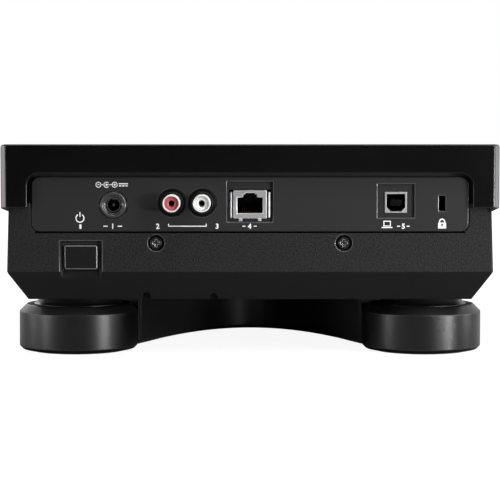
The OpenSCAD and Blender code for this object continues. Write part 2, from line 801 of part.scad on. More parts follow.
module usb_a_socket() {
    skin = 0.4;
    color("#b4b6b8") on_panel(fader_x, usb_a_v) translate([0, 0, -board_top]) {
        difference() {
            linear_extrude(board_top - 0.6) round_rect(usb_a_w, usb_a_l, 0.5);
            translate([0, 0, 2]) linear_extrude(board_top)
                square([usb_a_w - 2 * skin, usb_a_l - 2 * skin], center = true);
        }
        translate([-5.5, 0.2, 1]) cube([11, 1.85, board_top - 3]);
    }
}

lock_t = 2;

module lock_bracket() {
    color("#8d8f91") difference() {
        block(lock_x - 7, lock_x + 7, behind_y - lock_t, behind_y, jack_board_z - 3, lock_z + 10.2);
        along(behind_y - lock_t - 1, behind_y + 1) lock_slot();
    }
}

module panel_screws() {
    color("#2c2c2e") for (sx = [-1, 1])
        out_of_back(sx * screws_across / 2, panel_y - wall + 1, screw_z) pan_screw(8);
}

module case_screws() {
    color("#2c2c2e") {
        for (sx = [-1, 1], y = boss_y) translate([sx * boss_x, y, floor_h + head_sink])
            mirror([0, 0, 1]) pan_screw(boss_split + boss_bite - floor_h - head_sink, case_head_r);
        for (p = feet) translate([p[0], p[1], foot_h - foot_web])
            mirror([0, 0, 1]) pan_screw(floor_h - foot_h + foot_web + wall);
    }
}

power_stem = 9;

module power_button() {
    face = panel_y - 0.3;
    inner = panel_y - wall - power_recess - gap;
    color("#242426") {
        along(inner - 0.1, face) translate([power_x, power_z]) round_rect(power_w, power_h, 1);
        along(inner - 1.5, inner) translate([power_x, power_z])
            square([power_w + 2.6, power_h + 1.6], center = true);
        along(inner - power_stem, inner - 1.4) translate([power_x, power_z]) circle(3);
    }
}

// ---- Circuit boards ----

main_board_z = 34;
main_w = drive_w;
main_back = panel_y - 28;
main_front = drive_back + 8;
post_in = 10;
board_post_r = 3;
board_post_x = main_w / 2 - post_in;
board_posts = [for (s = [-1, 1], y = [main_front + post_in, main_back - post_in]) [s * board_post_x, y]];

module main_board() {
    chip = 24;
    memory = 14;
    connector = [18, 12, 9];
    can_r = 4.5;
    can_h = 13;
    color("#17402a") {
        block(-main_w / 2, main_w / 2, main_front, main_back, main_board_z, main_board_z + board_t);
        translate([0, main_back, main_board_z + board_t - 0.1]) {
            translate([4 - chip, -30 - chip, 0]) cube([chip, chip, 2.5]);
            translate([18, -36 - memory, 0]) cube([memory, memory, 1.9]);
            translate([-62, -44, 0]) cube(connector);
            for (x = [44, 56]) translate([x, -24, 0]) cylinder(h = can_h, r = can_r);
        }
    }
}

module jack_board() {
    low = jack_board_z - board_t;
    depth = 32;
    switch_w = 10;
    front = panel_y - wall - power_recess - gap - power_stem - power_travel - gap;
    color("#17402a") {
        difference() {
            block(usb_b_x - 16.6, power_x + 9.8, behind_y - depth, behind_y - gap, low, jack_board_z);
            block(lock_x - 8, lock_x + 8, behind_y - lock_t - gap, behind_y, low - 1, jack_board_z + 1);
        }
        translate([power_x - switch_w / 2, front - switch_w, power_z - 5])
            cube([switch_w, switch_w, low + 5.1 - power_z]);
    }
}

module control_board() {
    strip_w = 2 * (pair_pitch - 1);
    row_half = small_l + 3;
    play_v = case_d - play_in + big_button_r + 3;
    eject_v = case_d - eject_in + small_l;
    color("#17402a") {
        on_panel() translate([0, 0, -board_top - board_t]) linear_extrude(board_t) {
            translate([column_x - strip_w / 2, -play_v]) square([strip_w, play_v - row_v + row_half]);
            translate([fader_x - strip_w / 2, -eject_v]) square([strip_w - 0.6, eject_v - usb_a_v + 8]);
            translate([column_x, -row_v - row_half]) square([fader_x - column_x, 2 * row_half]);
        }
        for (b = buttons) on_panel(b[1], b[2]) translate([0, 0, -board_top - 0.1])
            linear_extrude(switch_h + 0.1) square(6, center = true);
        // rotary encoder's housing
        on_panel(fader_x, knob_v) difference() {
            translate([-7, -7, -board_top - 0.1]) cube([14, 14, board_top - 5.5]);
            translate([0, 0, -plunger_low - press - gap]) cylinder(h = 20, r = plunger_r + run_gap);
        }
    }
}

// ---- Controls on the panel ----

glass_t = 1.4;

module display_module() {
    module_t = 6;
    color("#3a3c40") on_panel(display_x, display_v) {
        translate([0, 0, -wall]) linear_extrude(wall - glass_t) round_rect(display_w - 9, display_l - 9, 1);
        translate([0, 0, -wall - module_t]) linear_extrude(module_t)
            square([display_w + 6, display_l + 6], center = true);
    }
}

module display_glass() {
    color("#050608") on_panel(display_x, display_v) translate([0, 0, -glass_t]) linear_extrude(glass_t)
        round_rect(display_w, display_l, 2.7);
}

jog_boss_r = 12;
jog_float = 0.8;
jog_shaft_low = 14;

module jog_bearing() {
    color("#8d8f91") on_panel(0, jog_v) difference() {
        union() {
            translate([0, 0, -wall - 4]) cylinder(h = wall + 4, r = jog_boss_r);
            translate([0, 0, -wall - 2]) cylinder(h = 2, r = 24);
            translate([0, 0, -jog_shaft_low - 1.6]) cylinder(h = 11, r = 9);
        }
        translate([0, 0, -jog_shaft_low - gap]) cylinder(h = 40, r = jog_shaft_r + run_gap);
    }
}

module jog_wheel() {
    rim = 14;
    skirt = jog_float;
    step_r = jog_plate_r + 0.3;
    color("#1a1a1c") on_panel(0, jog_v) {
        difference() {
            rotate_extrude($fn = 96) polygon([
                [0, jog_h - 3.5], [jog_r - 5, jog_h - 3.5], [jog_r - 5, skirt], [jog_r - 1.2, skirt],
                [jog_r, skirt + 1.2], [jog_r, jog_h - 3.2], [jog_r - 2, jog_h - 1.4],
                [jog_r - rim, jog_h], [step_r, jog_h], [step_r, jog_h - 1.2], [0, jog_h - 1.2],
            ]);
            for (i = [0:flutes - 1]) rotate(i * 360 / flutes) translate([jog_r + 1.1, 0, skirt - 1])
                cylinder(h = jog_h - skirt - 1.5, r = 1.9, $fn = 24);
        }
        translate([0, 0, -jog_shaft_low]) cylinder(h = jog_shaft_low + jog_h - 3.4, r = jog_shaft_r);
    }
}

module jog_plate() {
    color("#2a2b2e") on_panel(0, jog_v) translate([0, 0, jog_h - 1.2]) rotate_extrude($fn = 96) polygon([
        [0, 0], [jog_plate_r, 0], [jog_plate_r, 1], [jog_plate_r - 0.6, 1.5], [30, 1.5], [29, 1.1], [0, 1.1],
    ]);
}

fader_stem_w = 2;
fader_stem_l = 8;

module tempo_fader() {
    length = 2 * fader_travel + 32;
    color("#101010") on_panel(fader_x, fader_v) difference() {
        translate([-6, -length / 2, -board_top]) cube([12, length, board_top - wall - gap]);
        translate([-fader_stem_w / 2 - gap, -fader_travel - fader_stem_l / 2 - 2 * gap, -board_top + 2])
            cube([fader_stem_w + 2 * gap, 2 * fader_travel + fader_stem_l + 4 * gap, board_top]);
    }
}

module tempo_knob() {
    base = 0.6;
    color("#c8c8c6") on_panel(fader_x, fader_v) {
        difference() {
            hull() {
                translate([0, 0, base]) linear_extrude(1) round_rect(12, 23, 1.4, $fn = 32);
                translate([0, 0, 7]) linear_extrude(0.4) round_rect(9.6, 17, 1.2, $fn = 32);
            }
            translate([-7, 0, 8.2]) rotate([0, 90, 0]) cylinder(h = 14, r = 2.6);
        }
        translate([-fader_stem_w / 2, -fader_stem_l / 2, -board_top + 2 + gap])
            cube([fader_stem_w, fader_stem_l, board_top - 1.2]);
    }
}

plunger_r = 5;
plunger_low = 10.6;

module browse_plunger() {
    color("#8d8f91") on_panel(fader_x, knob_v) difference() {
        translate([0, 0, -plunger_low]) cylinder(h = 4.6, r = plunger_r);
        translate([0, 0, -plunger_low + 1]) cylinder(h = 9, r = knob_shaft_r + run_gap);
    }
}

module browse_knob() {
    grips = 24;
    low = press + gap;
    color("#232325") on_panel(fader_x, knob_v) {
        difference() {
            rotate_extrude() polygon([
                [0, low], [knob_r, low], [knob_r, knob_h - 1.2], [knob_r - 1.2, knob_h],
                [knob_r - 3, knob_h], [knob_r - 4, knob_h - 0.6], [0, knob_h - 0.6],
            ]);
            for (i = [0:grips - 1]) rotate(i * 360 / grips) translate([knob_r + 0.5, 0, low + 1.2])
                cylinder(h = knob_h, r = 0.9, $fn = 16);
        }
        translate([0, 0, -plunger_low + 1 + gap]) cylinder(h = plunger_low - 1 + low, r = knob_shaft_r);
    }
}

function is_round(b) = b[3] == b[4];
function button_corner(b) = is_round(b) ? b[3] / 2 - 0.05 : 1;
function button_tint(b) = b[0] == "play_button" ? "#3c4a40" : b[0] == "cue_button" ? "#54463a" : "#2b2b2d";

module push_button(b) {
    bevel = 0.5;
    color(button_tint(b)) on_panel(b[1], b[2]) {
        translate([0, 0, -flange_top - 0.1]) linear_extrude(flange_top + b[5] - bevel + 0.1)
            round_rect(b[3], b[4], button_corner(b));
        hull() {
            translate([0, 0, b[5] - bevel - 0.1]) linear_extrude(0.1)
                round_rect(b[3], b[4], button_corner(b), $fn = 32);
            translate([0, 0, b[5] - 0.05]) linear_extrude(0.05)
                round_rect(b[3] - 2 * bevel, b[4] - 2 * bevel, button_corner(b) - bevel, $fn = 32);
        }
        translate([0, 0, -flange_top - flange_t]) linear_extrude(flange_t)
            square([b[3] + 1.4, b[4] + 1.4], center = true);
        translate([0, 0, -stem_end]) cylinder(h = stem_h + 0.1, r = 1.8);
    }
}

// ---- Disc drive ----

module slot_bezel() {
    color("#0d0d0e") difference() {
        union() {
            along(front_y + 0.2, front_y + wall + 1) translate([0, disc_z])
                round_rect(bezel_w, bezel_h, bezel_h / 2 - 0.2);
            along(front_y + wall + gap, front_y + wall + gap + 1.4) translate([0, disc_z])
                round_rect(bezel_w + 2 * bezel_lip, bezel_h + 2 * bezel_lip - 1, 2);
            along(front_y + wall + 1, drive_front - gap) translate([0, disc_z])
                round_rect(slot_w + 4, slot_h + 4, 3);
        }
        along(front_y - 1, drive_front) translate([0, disc_z]) round_rect(slot_w, slot_h, slot_h / 2 - 0.05);
    }
}

module drive_frame() {
    half = drive_w / 2;
    color("#9a9c9e") difference() {
        union() {
            difference() {
                block(-half, half, drive_front, drive_back, drive_z, drive_top);
                translate([sheet - half, drive_front + sheet, drive_z + sheet])
                    cube([drive_w - 2 * sheet, drive_d - 2 * sheet, drive_top]);
            }
            // ears that carry the traverse's pivot
            for (s = [-1, 1]) translate([s * ear_x - ear_t / 2, pivot_y - 2 * pivot_r, drive_z + 1])
                cube([ear_t, 4 * pivot_r, pivot_z + 2 * pivot_r - drive_z - 1]);
            // posts for the cover
            for (s = [-1, 1], y = post_y)
                translate([s * (half - 5), y, drive_z + 1]) cylinder(h = drive_top - drive_z - 1, r = 3);
            // seat for the loading motor
            translate([motor_x, pivot_y, drive_z + 1]) cylinder(h = 4, r = motor_r);
        }
        along(drive_front - 1, drive_front + sheet + 1) translate([0, disc_z])
            square([disc_d + 5, slot_h + 1.2], center = true);
        translate([-half / 2 - ear_x / 2, pivot_y, pivot_z]) rotate([0, 90, 0])
            cylinder(h = half + ear_x, r = pivot_r + run_gap);
        translate([-half - 1, roller_y, roller_z]) rotate([0, 90, 0])
            cylinder(h = drive_w + 2, r = axle_r + run_gap);
    }
}

module drive_cover() {
    half = drive_w / 2;
    color("#a6a8aa") difference() {
        union() {
            block(-half, half, drive_front, drive_back, drive_top, drive_top + sheet);
            // guide rails above the disc's edges
            for (s = [-1, 1]) block(s * 64 - 2, s * 64 + 2, post_y[0] + 4, post_y[1] - 4,
                disc_z + slot_h / 2 + 0.4, drive_top + 0.1);
        }
        translate([0, spindle_y, drive_top - 1]) cylinder(h = 5, r = 10);
        for (s = [-1, 1]) translate([s * 40, spindle_y + 76, drive_top - 1]) cylinder(h = 5, r = 8);
    }
}

module disc_clamp() {
    low = disc_z + slot_h / 2;
    color("#d8d8d4") translate([0, spindle_y, 0]) {
        translate([0, 0, low]) cylinder(h = 2, r = 15);
        translate([0, 0, low + 1.9]) cylinder(h = drive_top + sheet + gap - low - 1.8, r = 9.6);
        translate([0, 0, drive_top + sheet + gap]) cylinder(h = 1.2, r = 13);
    }
}

module loading_motor() {
    color("#77797b") translate([motor_x, pivot_y, drive_z + 5]) {
        cylinder(h = 12, r = motor_r);
        cylinder(h = 14.5, r = 1);
        translate([0, 0, 13]) cylinder(h = 2, r = 3.5);
    }
}

module feed_roller() {
    color("#1b1b1b") translate([0, roller_y, roller_z]) rotate([0, 90, 0]) {
        cylinder(h = disc_d - 4, r = roller_r, center = true);
        cylinder(h = drive_w - 2 * gap, r = axle_r, center = true);
    }
}

module traverse_plate() {
    color("#85878a") difference() {
        union() {
            block(-tray_x, tray_x, spindle_y - 20, pivot_y - 3, tray_z, tray_z + sheet);
            // arms and pin on which it swings
            for (s = [-1, 1]) translate([s * (tray_x - 5) - 4, pivot_y - 8, tray_z])
                cube([8, 8 + pivot_r + 0.6, pivot_z + pivot_r + 0.6 - tray_z]);
            translate([0, pivot_y, pivot_z]) rotate([0, 90, 0])
                cylinder(h = 2 * ear_x + ear_t, r = pivot_r, center = true);
            for (x = [-rod_x, rod_x, screw_x], y = rail_y)
                block(x - 3, x + 3, y - 1.2, y + 1.2, tray_z + 1, rod_z + 2.6);
        }
        translate([0, spindle_y, tray_z - 1]) cylinder(h = 4, r = 4);
        for (x = [-rod_x, rod_x, screw_x]) translate([x, rail_y[0] - 2, rod_z]) rotate([-90, 0, 0])
            cylinder(h = rail_y[1] - rail_y[0] + 4, r = rod_r + run_gap);
        block(-rod_x + 6, rod_x - 6, spindle_y + 20, rail_y[1] - 4, tray_z - 1, tray_z + 3);
    }
}

module spindle_motor() {
    color("#6c6e70") translate([0, spindle_y, 0]) difference() {
        union() {
            translate([0, 0, tray_z - 4.6]) cylinder(h = 4.6, r = 12.5);
            translate([0, 0, tray_z - 0.1]) cylinder(h = 4.5, r = 3.8);
        }
        translate([0, 0, tray_z - 3.4]) cylinder(h = 12, r = 1 + run_gap);
    }
}

module guide_rods() {
    color("#c4c6c8") for (s = [-1, 1]) translate([s * rod_x, rail_y[0] - 1.2, rod_z]) rotate([-90, 0, 0])
        cylinder(h = rail_y[1] - rail_y[0] + 2.4, r = rod_r);
}

module lead_screw() {
    color("#b08d4a") translate([screw_x, rail_y[0] - 1.2, rod_z]) rotate([-90, 0, 0]) {
        cylinder(h = rail_y[1] - rail_y[0] + 2.4, r = rod_r);
        translate([0, 0, 3]) cylinder(h = 4, r = 2.4);
    }
}

module pickup_sled() {
    y0 = rail_y[0] + 9;
    length = 16;
    color("#3d3f42") difference() {
        union() {
            block(-rod_x - 3, rod_x + 3, y0, y0 + length, rod_z - 2.4, rod_z + 2.4);
            block(screw_x - 3, -rod_x, y0 + 5, y0 + length - 5, rod_z - 2.4, rod_z + 2.4);
            translate([0, y0 + length / 2, rod_z + 2.3]) cylinder(h = 1.6, r = 4.5);
            translate([0, y0 + length / 2, rod_z + 3.8]) cylinder(h = 0.6, r = 2.2);
        }
        for (x = [-rod_x, rod_x, screw_x]) translate([x, y0 - 1, rod_z]) rotate([-90, 0, 0])
            cylinder(h = length + 2, r = rod_r + run_gap);
    }
}

module turntable() {
    seat = disc_z - slot_h / 2 - 1.4;
    color("#2f3133") translate([0, spindle_y, 0]) {
        translate([0, 0, seat - 1.8]) cylinder(h = 1.8, r = 14);
        translate([0, 0, seat - 0.1]) cylinder(h = 1.3, r1 = 7.45, r2 = 6.6);
        translate([0, 0, tray_z - 3.1]) cylinder(h = seat - tray_z + 2, r = 1);
    }
}

// ---- Nodes ----

lower_case();
upper_case();
jack_panel();
riser_base();
foot_pads();
for (i = [0:3]) foot(i);
main_board();
jack_board();
control_board();
dc_inlet();
phono_housing();
phono_sleeves();
phono_core(rca_x[0], "#c01818");  // phono_core_red
phono_core(rca_x[1], "#e6e6e2");  // phono_core_white
network_socket();
usb_b_socket();
usb_a_socket();
lock_bracket();
panel_screws();
case_screws();
display_module();
display_glass();
slot_bezel();
drive_frame();
drive_cover();
disc_clamp();
loading_motor();
feed_roller();
traverse_plate();
spindle_motor();
guide_rods();
lead_screw();
pickup_sled();
turntable();
jog_bearing();
jog_wheel();
jog_plate();
tempo_fader();
tempo_knob();
browse_plunger();
browse_knob();
power_button();
for (b = buttons) push_button(b);
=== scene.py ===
# %% [markdown]
# # A tabletop DJ disc player, seen from behind
# The construction is already there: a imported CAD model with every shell, socket and
# button in its place. This script dresses it: it gives each piece the finish that the
# real one has, adds what is too fine for the CAD, and lights it like a product shot.

# %% Load the frame
import json
from math import atan2, cos, degrees, pi, radians, sin, tan

import bmesh
import bpy
from mathutils import Matrix, Vector

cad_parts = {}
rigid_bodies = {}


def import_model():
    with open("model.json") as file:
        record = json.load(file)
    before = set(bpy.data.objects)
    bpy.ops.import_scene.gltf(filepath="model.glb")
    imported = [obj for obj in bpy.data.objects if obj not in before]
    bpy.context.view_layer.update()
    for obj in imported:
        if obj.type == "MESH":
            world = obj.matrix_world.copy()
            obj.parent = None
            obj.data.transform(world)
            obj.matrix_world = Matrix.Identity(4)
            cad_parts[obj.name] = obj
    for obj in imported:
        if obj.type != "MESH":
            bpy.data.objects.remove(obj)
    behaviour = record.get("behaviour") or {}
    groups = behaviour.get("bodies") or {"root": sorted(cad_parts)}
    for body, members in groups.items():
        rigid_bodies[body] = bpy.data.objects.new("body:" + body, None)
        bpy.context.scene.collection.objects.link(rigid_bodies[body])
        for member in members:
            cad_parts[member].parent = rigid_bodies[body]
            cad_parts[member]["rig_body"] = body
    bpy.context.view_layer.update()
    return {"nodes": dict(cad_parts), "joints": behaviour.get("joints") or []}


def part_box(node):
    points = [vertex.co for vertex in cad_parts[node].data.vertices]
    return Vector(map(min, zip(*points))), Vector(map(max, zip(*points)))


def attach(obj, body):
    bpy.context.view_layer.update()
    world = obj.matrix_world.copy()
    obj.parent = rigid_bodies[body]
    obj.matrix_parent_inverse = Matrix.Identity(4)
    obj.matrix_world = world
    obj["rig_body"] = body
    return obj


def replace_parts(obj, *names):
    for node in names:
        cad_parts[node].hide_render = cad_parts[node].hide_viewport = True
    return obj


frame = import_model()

nodes = frame["nodes"]

# %% [markdown]
# ## Units, colours and places
# Sizes are easier to read in millimetres, so `MM` turns them into Blender's metres.
# Colours are written as the sRGB hex values of a paint chart. Blender's shaders
# calculate with linear light, so one function turns the one into the other.

# %% Units and colours
MM = 0.001


def colour(code):
    """An sRGB hex colour as the linear RGBA that a shader socket takes."""
    channels = [int(code[i:i + 2], 16) / 255 for i in (1, 3, 5)]
    linear = [c / 12.92 if c <= 0.04045 else ((c + 0.055) / 1.055) ** 2.4 for c in channels]
    return (*linear, 1.0)


print("mid grey #808080 is linear", round(colour("#808080")[0], 3))

# %% [markdown]
# The control panel slopes towards the player's front. The jog wheel's joint already
# says where its axis stands and how it leans, so the panel's own directions come from
# that joint: `out` leaves the panel, and `down` runs along it towards the front.

# %% Places on the sloping panel and on the back
joints = {joint["name"]: joint for joint in frame["joints"]}
out = Vector(joints["jog_turn"]["axis"]).normalized()
down = Vector((0, -out.z, out.y))
jog_centre = Vector(joints["jog_turn"]["pos_m"])
lean = atan2(-out.y, out.z)
jack_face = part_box("jack_panel")[1].y
case_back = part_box("upper_case")[1].y


def panel_matrix(x, v, height=0.0):
    """Where +Z leaves the panel at x across and v down from the jog wheel's centre, in metres."""
    place = jog_centre + Vector((x, 0, 0)) + down * v + out * height
    return Matrix.Translation(place) @ Matrix.Rotation(lean, 4, "X")


def back_matrix(x, z, y=None):
    """Where +Z leaves the back at x, z, with text upright for someone who faces the back."""
    turned = Matrix.Rotation(pi, 4, "Z") @ Matrix.Rotation(pi / 2, 4, "X")
    return Matrix.Translation((x, jack_face if y is None else y, z)) @ turned


def middle(name):
    """The middle of a CAD node's box."""
    low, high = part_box(name)
    return (low + high) / 2


print("the panel leans", round(degrees(lean), 2), "degrees")
print("jack panel's face at y =", round(jack_face, 4))

# %% [markdown]
# ## How a material is built
# Each material is a small node tree. `add` puts one node into a tree with its settings
# and links, and every material below is written with it. `begin` starts a material
# with its output and a Principled shader, which stands for almost any real surface.

# %% Helpers for node trees
def add(tree, kind, links=None, **settings):
    """Adds a node, sets its properties or input values, and links its inputs."""
    made = tree.nodes.new(kind)
    for key, value in settings.items():
        if hasattr(made, key):
            setattr(made, key, value)
        else:
            made.inputs[key.replace("_", " ")].default_value = value
    for key, source in (links or {}).items():
        tree.links.new(source, made.inputs[key])
    return made


def begin(name, base, roughness, metallic=0.0, specular=0.5):
    """A new material: its tree, and its Principled shader with the constant values set."""
    made = bpy.data.materials.new(name)
    made.use_nodes = True
    tree = made.node_tree
    tree.nodes.clear()
    shader = add(tree, "ShaderNodeBsdfPrincipled", Base_Color=colour(base), Roughness=roughness,
                 Metallic=metallic, Specular_IOR_Level=specular)
    add(tree, "ShaderNodeOutputMaterial", {"Surface": shader.outputs["BSDF"]})
    return made, tree, shader


print("node helpers ready")

# %% [markdown]
# ## Moulded plastic
# Both cases, the base, the feet and the keys are injection-moulded. The tool's surface is
# what the eye reads: a finely blasted tool gives a smooth, almost black face, while a
# spark-eroded one gives a grain that breaks up the light. One function makes them all: a
# noise whose scale is worked out from the grain in millimetres drives a bump, and the same
# noise mixes the colour from the base towards a lighter one, so the grain's peaks are lighter
# and its pits darker: painted shade in the pits. A slower noise varies the gloss a little, as
# on any moulding. The corners of a moulding are never knife-sharp, so a Bevel node rounds
# the shading over a fraction of a millimetre where two faces meet.

# %% Moulded plastic
MOTTLE = 45


def moulded(name, base, lighter, roughness, grain, depth, specular=0.5, edge=0.35):
    """Moulded plastic: grain in mm, bump depth in mm, edge rounding in mm."""
    made, tree, shader = begin(name, base, roughness, specular=specular)
    place = add(tree, "ShaderNodeTexCoord").outputs["Object"]
    fine = add(tree, "ShaderNodeTexNoise", {"Vector": place},
               Scale=1 / (grain * MM), Detail=3.0, Roughness=0.6)
    broad = add(tree, "ShaderNodeTexNoise", {"Vector": place}, Scale=1 / (MOTTLE * MM), Detail=2.0)
    # The bump's noise also sets the colour, lighter on the grain's peaks and darker in its pits: painted
    # shade in the pits.
    tone = add(tree, "ShaderNodeMapRange", {"Value": fine.outputs["Fac"]},
               From_Min=0.35, From_Max=0.75, To_Min=0.0, To_Max=1.0)
    mixed = add(tree, "ShaderNodeMix", {"Factor": tone.outputs["Result"]}, data_type="RGBA")
    mixed.inputs["A"].default_value = colour(base)
    mixed.inputs["B"].default_value = colour(lighter)
    tree.links.new(mixed.outputs["Result"], shader.inputs["Base Color"])
    gloss = add(tree, "ShaderNodeMapRange", {"Value": broad.outputs["Fac"]},
                From_Min=0.3, From_Max=0.7, To_Min=roughness - 0.03, To_Max=roughness + 0.03)
    tree.links.new(gloss.outputs["Result"], shader.inputs["Roughness"])
    rounded = add(tree, "ShaderNodeBevel", samples=4, Radius=edge * MM)
    bump = add(tree, "ShaderNodeBump", {"Height": fine.outputs["Fac"], "Normal": rounded.outputs["Normal"]},
               Strength=1.0, Distance=depth * MM)
    tree.links.new(bump.outputs["Normal"], shader.inputs["Normal"])
    return made


print("one recipe for every moulding, mottled over", MOTTLE, "mm")

# %% [markdown]
# ## Plastics of the cases, base and feet
# These are all black ABS, and only the tool's finish tells them apart. A finish that
# scatters the light takes a high roughness and a low specular, so that it stays dark
# under the lamps; a smooth one takes the opposite and mirrors them softly.

# %% Case plastics
# Blasted and then polished: smooth and almost black, it mirrors the room faintly.
satin_abs = moulded("satin_moulded_ABS", "#0a0a0b", "#0e0e0f", 0.22, 0.5, 0.002, specular=0.28, edge=0.5)
# Spark-eroded: a grain of about 0.6 mm, painted much lighter on its peaks than in its pits: painted shade in
# the pits of the grain.
spark_abs = moulded("spark_eroded_ABS", "#101011", "#343435", 0.55, 0.62, 0.2, specular=0.12)
# Finely blasted: dull and even, for the slopes under the lower case's bend.
tub_abs = moulded("fine_moulded_ABS", "#151516", "#1a1a1b", 0.5, 0.5, 0.01, specular=0.1, edge=0.4)
# Half smooth: the curved base shows one long soft highlight.
smooth_abs = moulded("smooth_moulded_ABS", "#0a0a0b", "#0f0f10", 0.42, 0.6, 0.004, specular=0.5)
# Dull and a shade lighter than the cases, so that the panel reads as a piece of its own.
panel_abs = moulded("panel_ABS", "#262627", "#2b2b2c", 0.5, 0.5, 0.006, specular=0.16, edge=0.4)
# The feet have a fine grain on their walls, a satin one above and a matt one below.
foot_abs = moulded("foot_ABS", "#030304", "#060607", 0.28, 0.45, 0.04, specular=0.38, edge=0.12)
foot_satin = moulded("satin_foot_ABS", "#070708", "#0c0c0d", 0.4, 0.45, 0.03, specular=0.5, edge=0.1)
foot_matt = moulded("matt_foot_ABS", "#060607", "#0a0a0b", 0.6, 0.45, 0.02, specular=0.08, edge=0.12)
print("plastics of the cases, base and feet:", len(bpy.data.materials))

# %% [markdown]
# ## Plastics of the sockets and the controls
# Connectors are moulded in PBT, which is harder and cleaner than ABS. Keys are silicone
# or ABS, and what a hand turns has a soft coating. Three finishes are only for edges: they
# are glossier than the flats beside them, and their lighter colour is a painted highlight.

# %% Plastics of sockets and controls
# Glass-filled PBT: black and fairly dull, with a cleaner ring and a glossy power inlet.
connector_pbt = moulded("connector_PBT", "#050505", "#080808", 0.4, 0.8, 0.004, specular=0.12, edge=0.15)
ring_pbt = moulded("connector_ring_PBT", "#0d0d0d", "#121212", 0.3, 0.8, 0.004, specular=0.5, edge=0.1)
inlet_pbt = moulded("inlet_PBT", "#242426", "#2a2a2c", 0.24, 0.8, 0.002, specular=0.8, edge=0.2)
# Glossy edges whose lighter colour is a painted highlight: a thin grey line of light along an opening.
panel_edge = moulded("glossy_panel_edge_painted_highlight", "#3c3c3e", "#424244", 0.24, 0.8, 0.001, specular=0.5, edge=0.1)
key_edge = moulded("glossy_key_edge_painted_highlight", "#5c5c5e", "#646466", 0.26, 0.8, 0.001, specular=0.8, edge=0.1)
case_edge = moulded("glossy_case_edge_painted_highlight", "#3e3e40", "#444446", 0.28, 0.8, 0.001, specular=0.7, edge=0.1)
# Silicone, coating and rubber: soft to the touch, and dull to the eye for it.
key_silicone = moulded("key_silicone", "#1c1c1e", "#222224", 0.6, 0.4, 0.01, specular=0.35, edge=0.3)
soft_touch = moulded("soft_touch_coating", "#131314", "#18181a", 0.65, 0.3, 0.01, specular=0.3, edge=0.3)
pad_rubber = moulded("foot_rubber", "#0a0a0a", "#121212", 0.8, 0.9, 0.05, specular=0.3, edge=0.3)
# A near-black, dull strip stands for the shadow in the seam under the jack panel: painted shadow.
seam_painted_shadow = moulded("seam_painted_shadow", "#020202", "#040404", 0.95, 0.8, 0.002, specular=0.02, edge=0.1)
# The power key is smoother than the case round it.
power_abs = moulded("power_key_ABS", "#161617", "#1a1a1b", 0.4, 0.5, 0.004, specular=0.14, edge=0.3)
# The cores of the phono sockets are coloured through, red and white.
core_red = moulded("red_connector_PBT", "#c4595c", "#cc6668", 0.4, 1.0, 0.002, edge=0.12)
core_white = moulded("white_connector_PBT", "#f0f0ee", "#f6f6f4", 0.4, 1.0, 0.002, edge=0.12)
# The jog wheel is ABS, and the parts that slide on each other inside are waxy POM.
jog_abs = moulded("jog_ABS", "#0f0f10", "#141415", 0.4, 0.5, 0.006, edge=0.3)
clamp_pom = moulded("white_POM", "#c8c8c2", "#d4d4ce", 0.4, 1.2, 0.004)
mechanism_pom = moulded("black_POM", "#17171a", "#1d1d20", 0.42, 1.0, 0.004)
# Two keys have a tint of the colour that they are printed in.
play_abs = moulded("play_key_ABS", "#1a231d", "#202a23", 0.4, 0.5, 0.005, edge=0.3)
cue_abs = moulded("cue_key_ABS", "#2a2119", "#30261d", 0.4, 0.5, 0.005, edge=0.3)
print("moulded plastics:", len(bpy.data.materials))

# %% [markdown]
# ## Metals
# Sockets are tinned or nickel-plated sheet steel, the drive is zinc-plated sheet, and
# the jog wheel's top is a spun and anodised aluminium disc. A metal's colour is in its
# reflection, so metallic is 1 and the base colour is what it reflects; only matt tin and
# silver, which scatter much of the light, take less. Sheet metal has soft rolling marks;
# they are drawn about half a millimetre wide so that they still show at this size.

# %% Metals
def metal(name, base, roughness, grain, stretch=(1, 1, 1), depth=0.002, edge=0.15, metallic=1.0):
    """A plated or machined metal: grain in mm, stretched along an axis for rolling marks."""
    made, tree, shader = begin(name, base, roughness, metallic=metallic)
    place = add(tree, "ShaderNodeTexCoord").outputs["Object"]
    stretched = add(tree, "ShaderNodeMapping", {"Vector": place}, Scale=stretch)
    marks = add(tree, "ShaderNodeTexNoise", {"Vector": stretched.outputs["Vector"]},
                Scale=1 / (grain * MM), Detail=2.0)
    gloss = add(tree, "ShaderNodeMapRange", {"Value": marks.outputs["Fac"]},
                From_Min=0.3, From_Max=0.7, To_Min=roughness * 0.8, To_Max=roughness * 1.25)
    tree.links.new(gloss.outputs["Result"], shader.inputs["Roughness"])
    rounded = add(tree, "ShaderNodeBevel", samples=4, Radius=edge * MM)
    bump = add(tree, "ShaderNodeBump", {"Height": marks.outputs["Fac"], "Normal": rounded.outputs["Normal"]},
               Strength=1.0, Distance=depth * MM)
    tree.links.new(bump.outputs["Normal"], shader.inputs["Normal"])
    return made


# Plating on small contacts is clean: warm nickel, and a silver that looks almost white.
nickel = metal("nickel_plating", "#dedbd4", 0.3, 1.5, depth=0.0005)
silver_plating = metal("matt_silver_plating", "#fbfaf7", 0.4, 1.5, depth=0.0005, metallic=0.45)
# Tinned sheet is pale grey and dull. Its rounded edges take a white metal, a painted highlight.
tin = metal("tinned_steel", "#a4a4a6", 0.5, 0.5, stretch=(1, 1, 0.3), depth=0.001, metallic=0.6)
tin_edge = metal("tinned_edge_painted_highlight", "#ffffff", 0.35, 0.8, depth=0.0003, metallic=0.6)
# Zinc-plated sheet is a colder grey, and its black form is nearly the case's colour.
zinc = metal("zinc_plated_sheet", "#8f9294", 0.38, 0.4, stretch=(0.15, 1, 1))
black_zinc = metal("black_zinc_screw", "#3a3a3e", 0.34, 0.5)
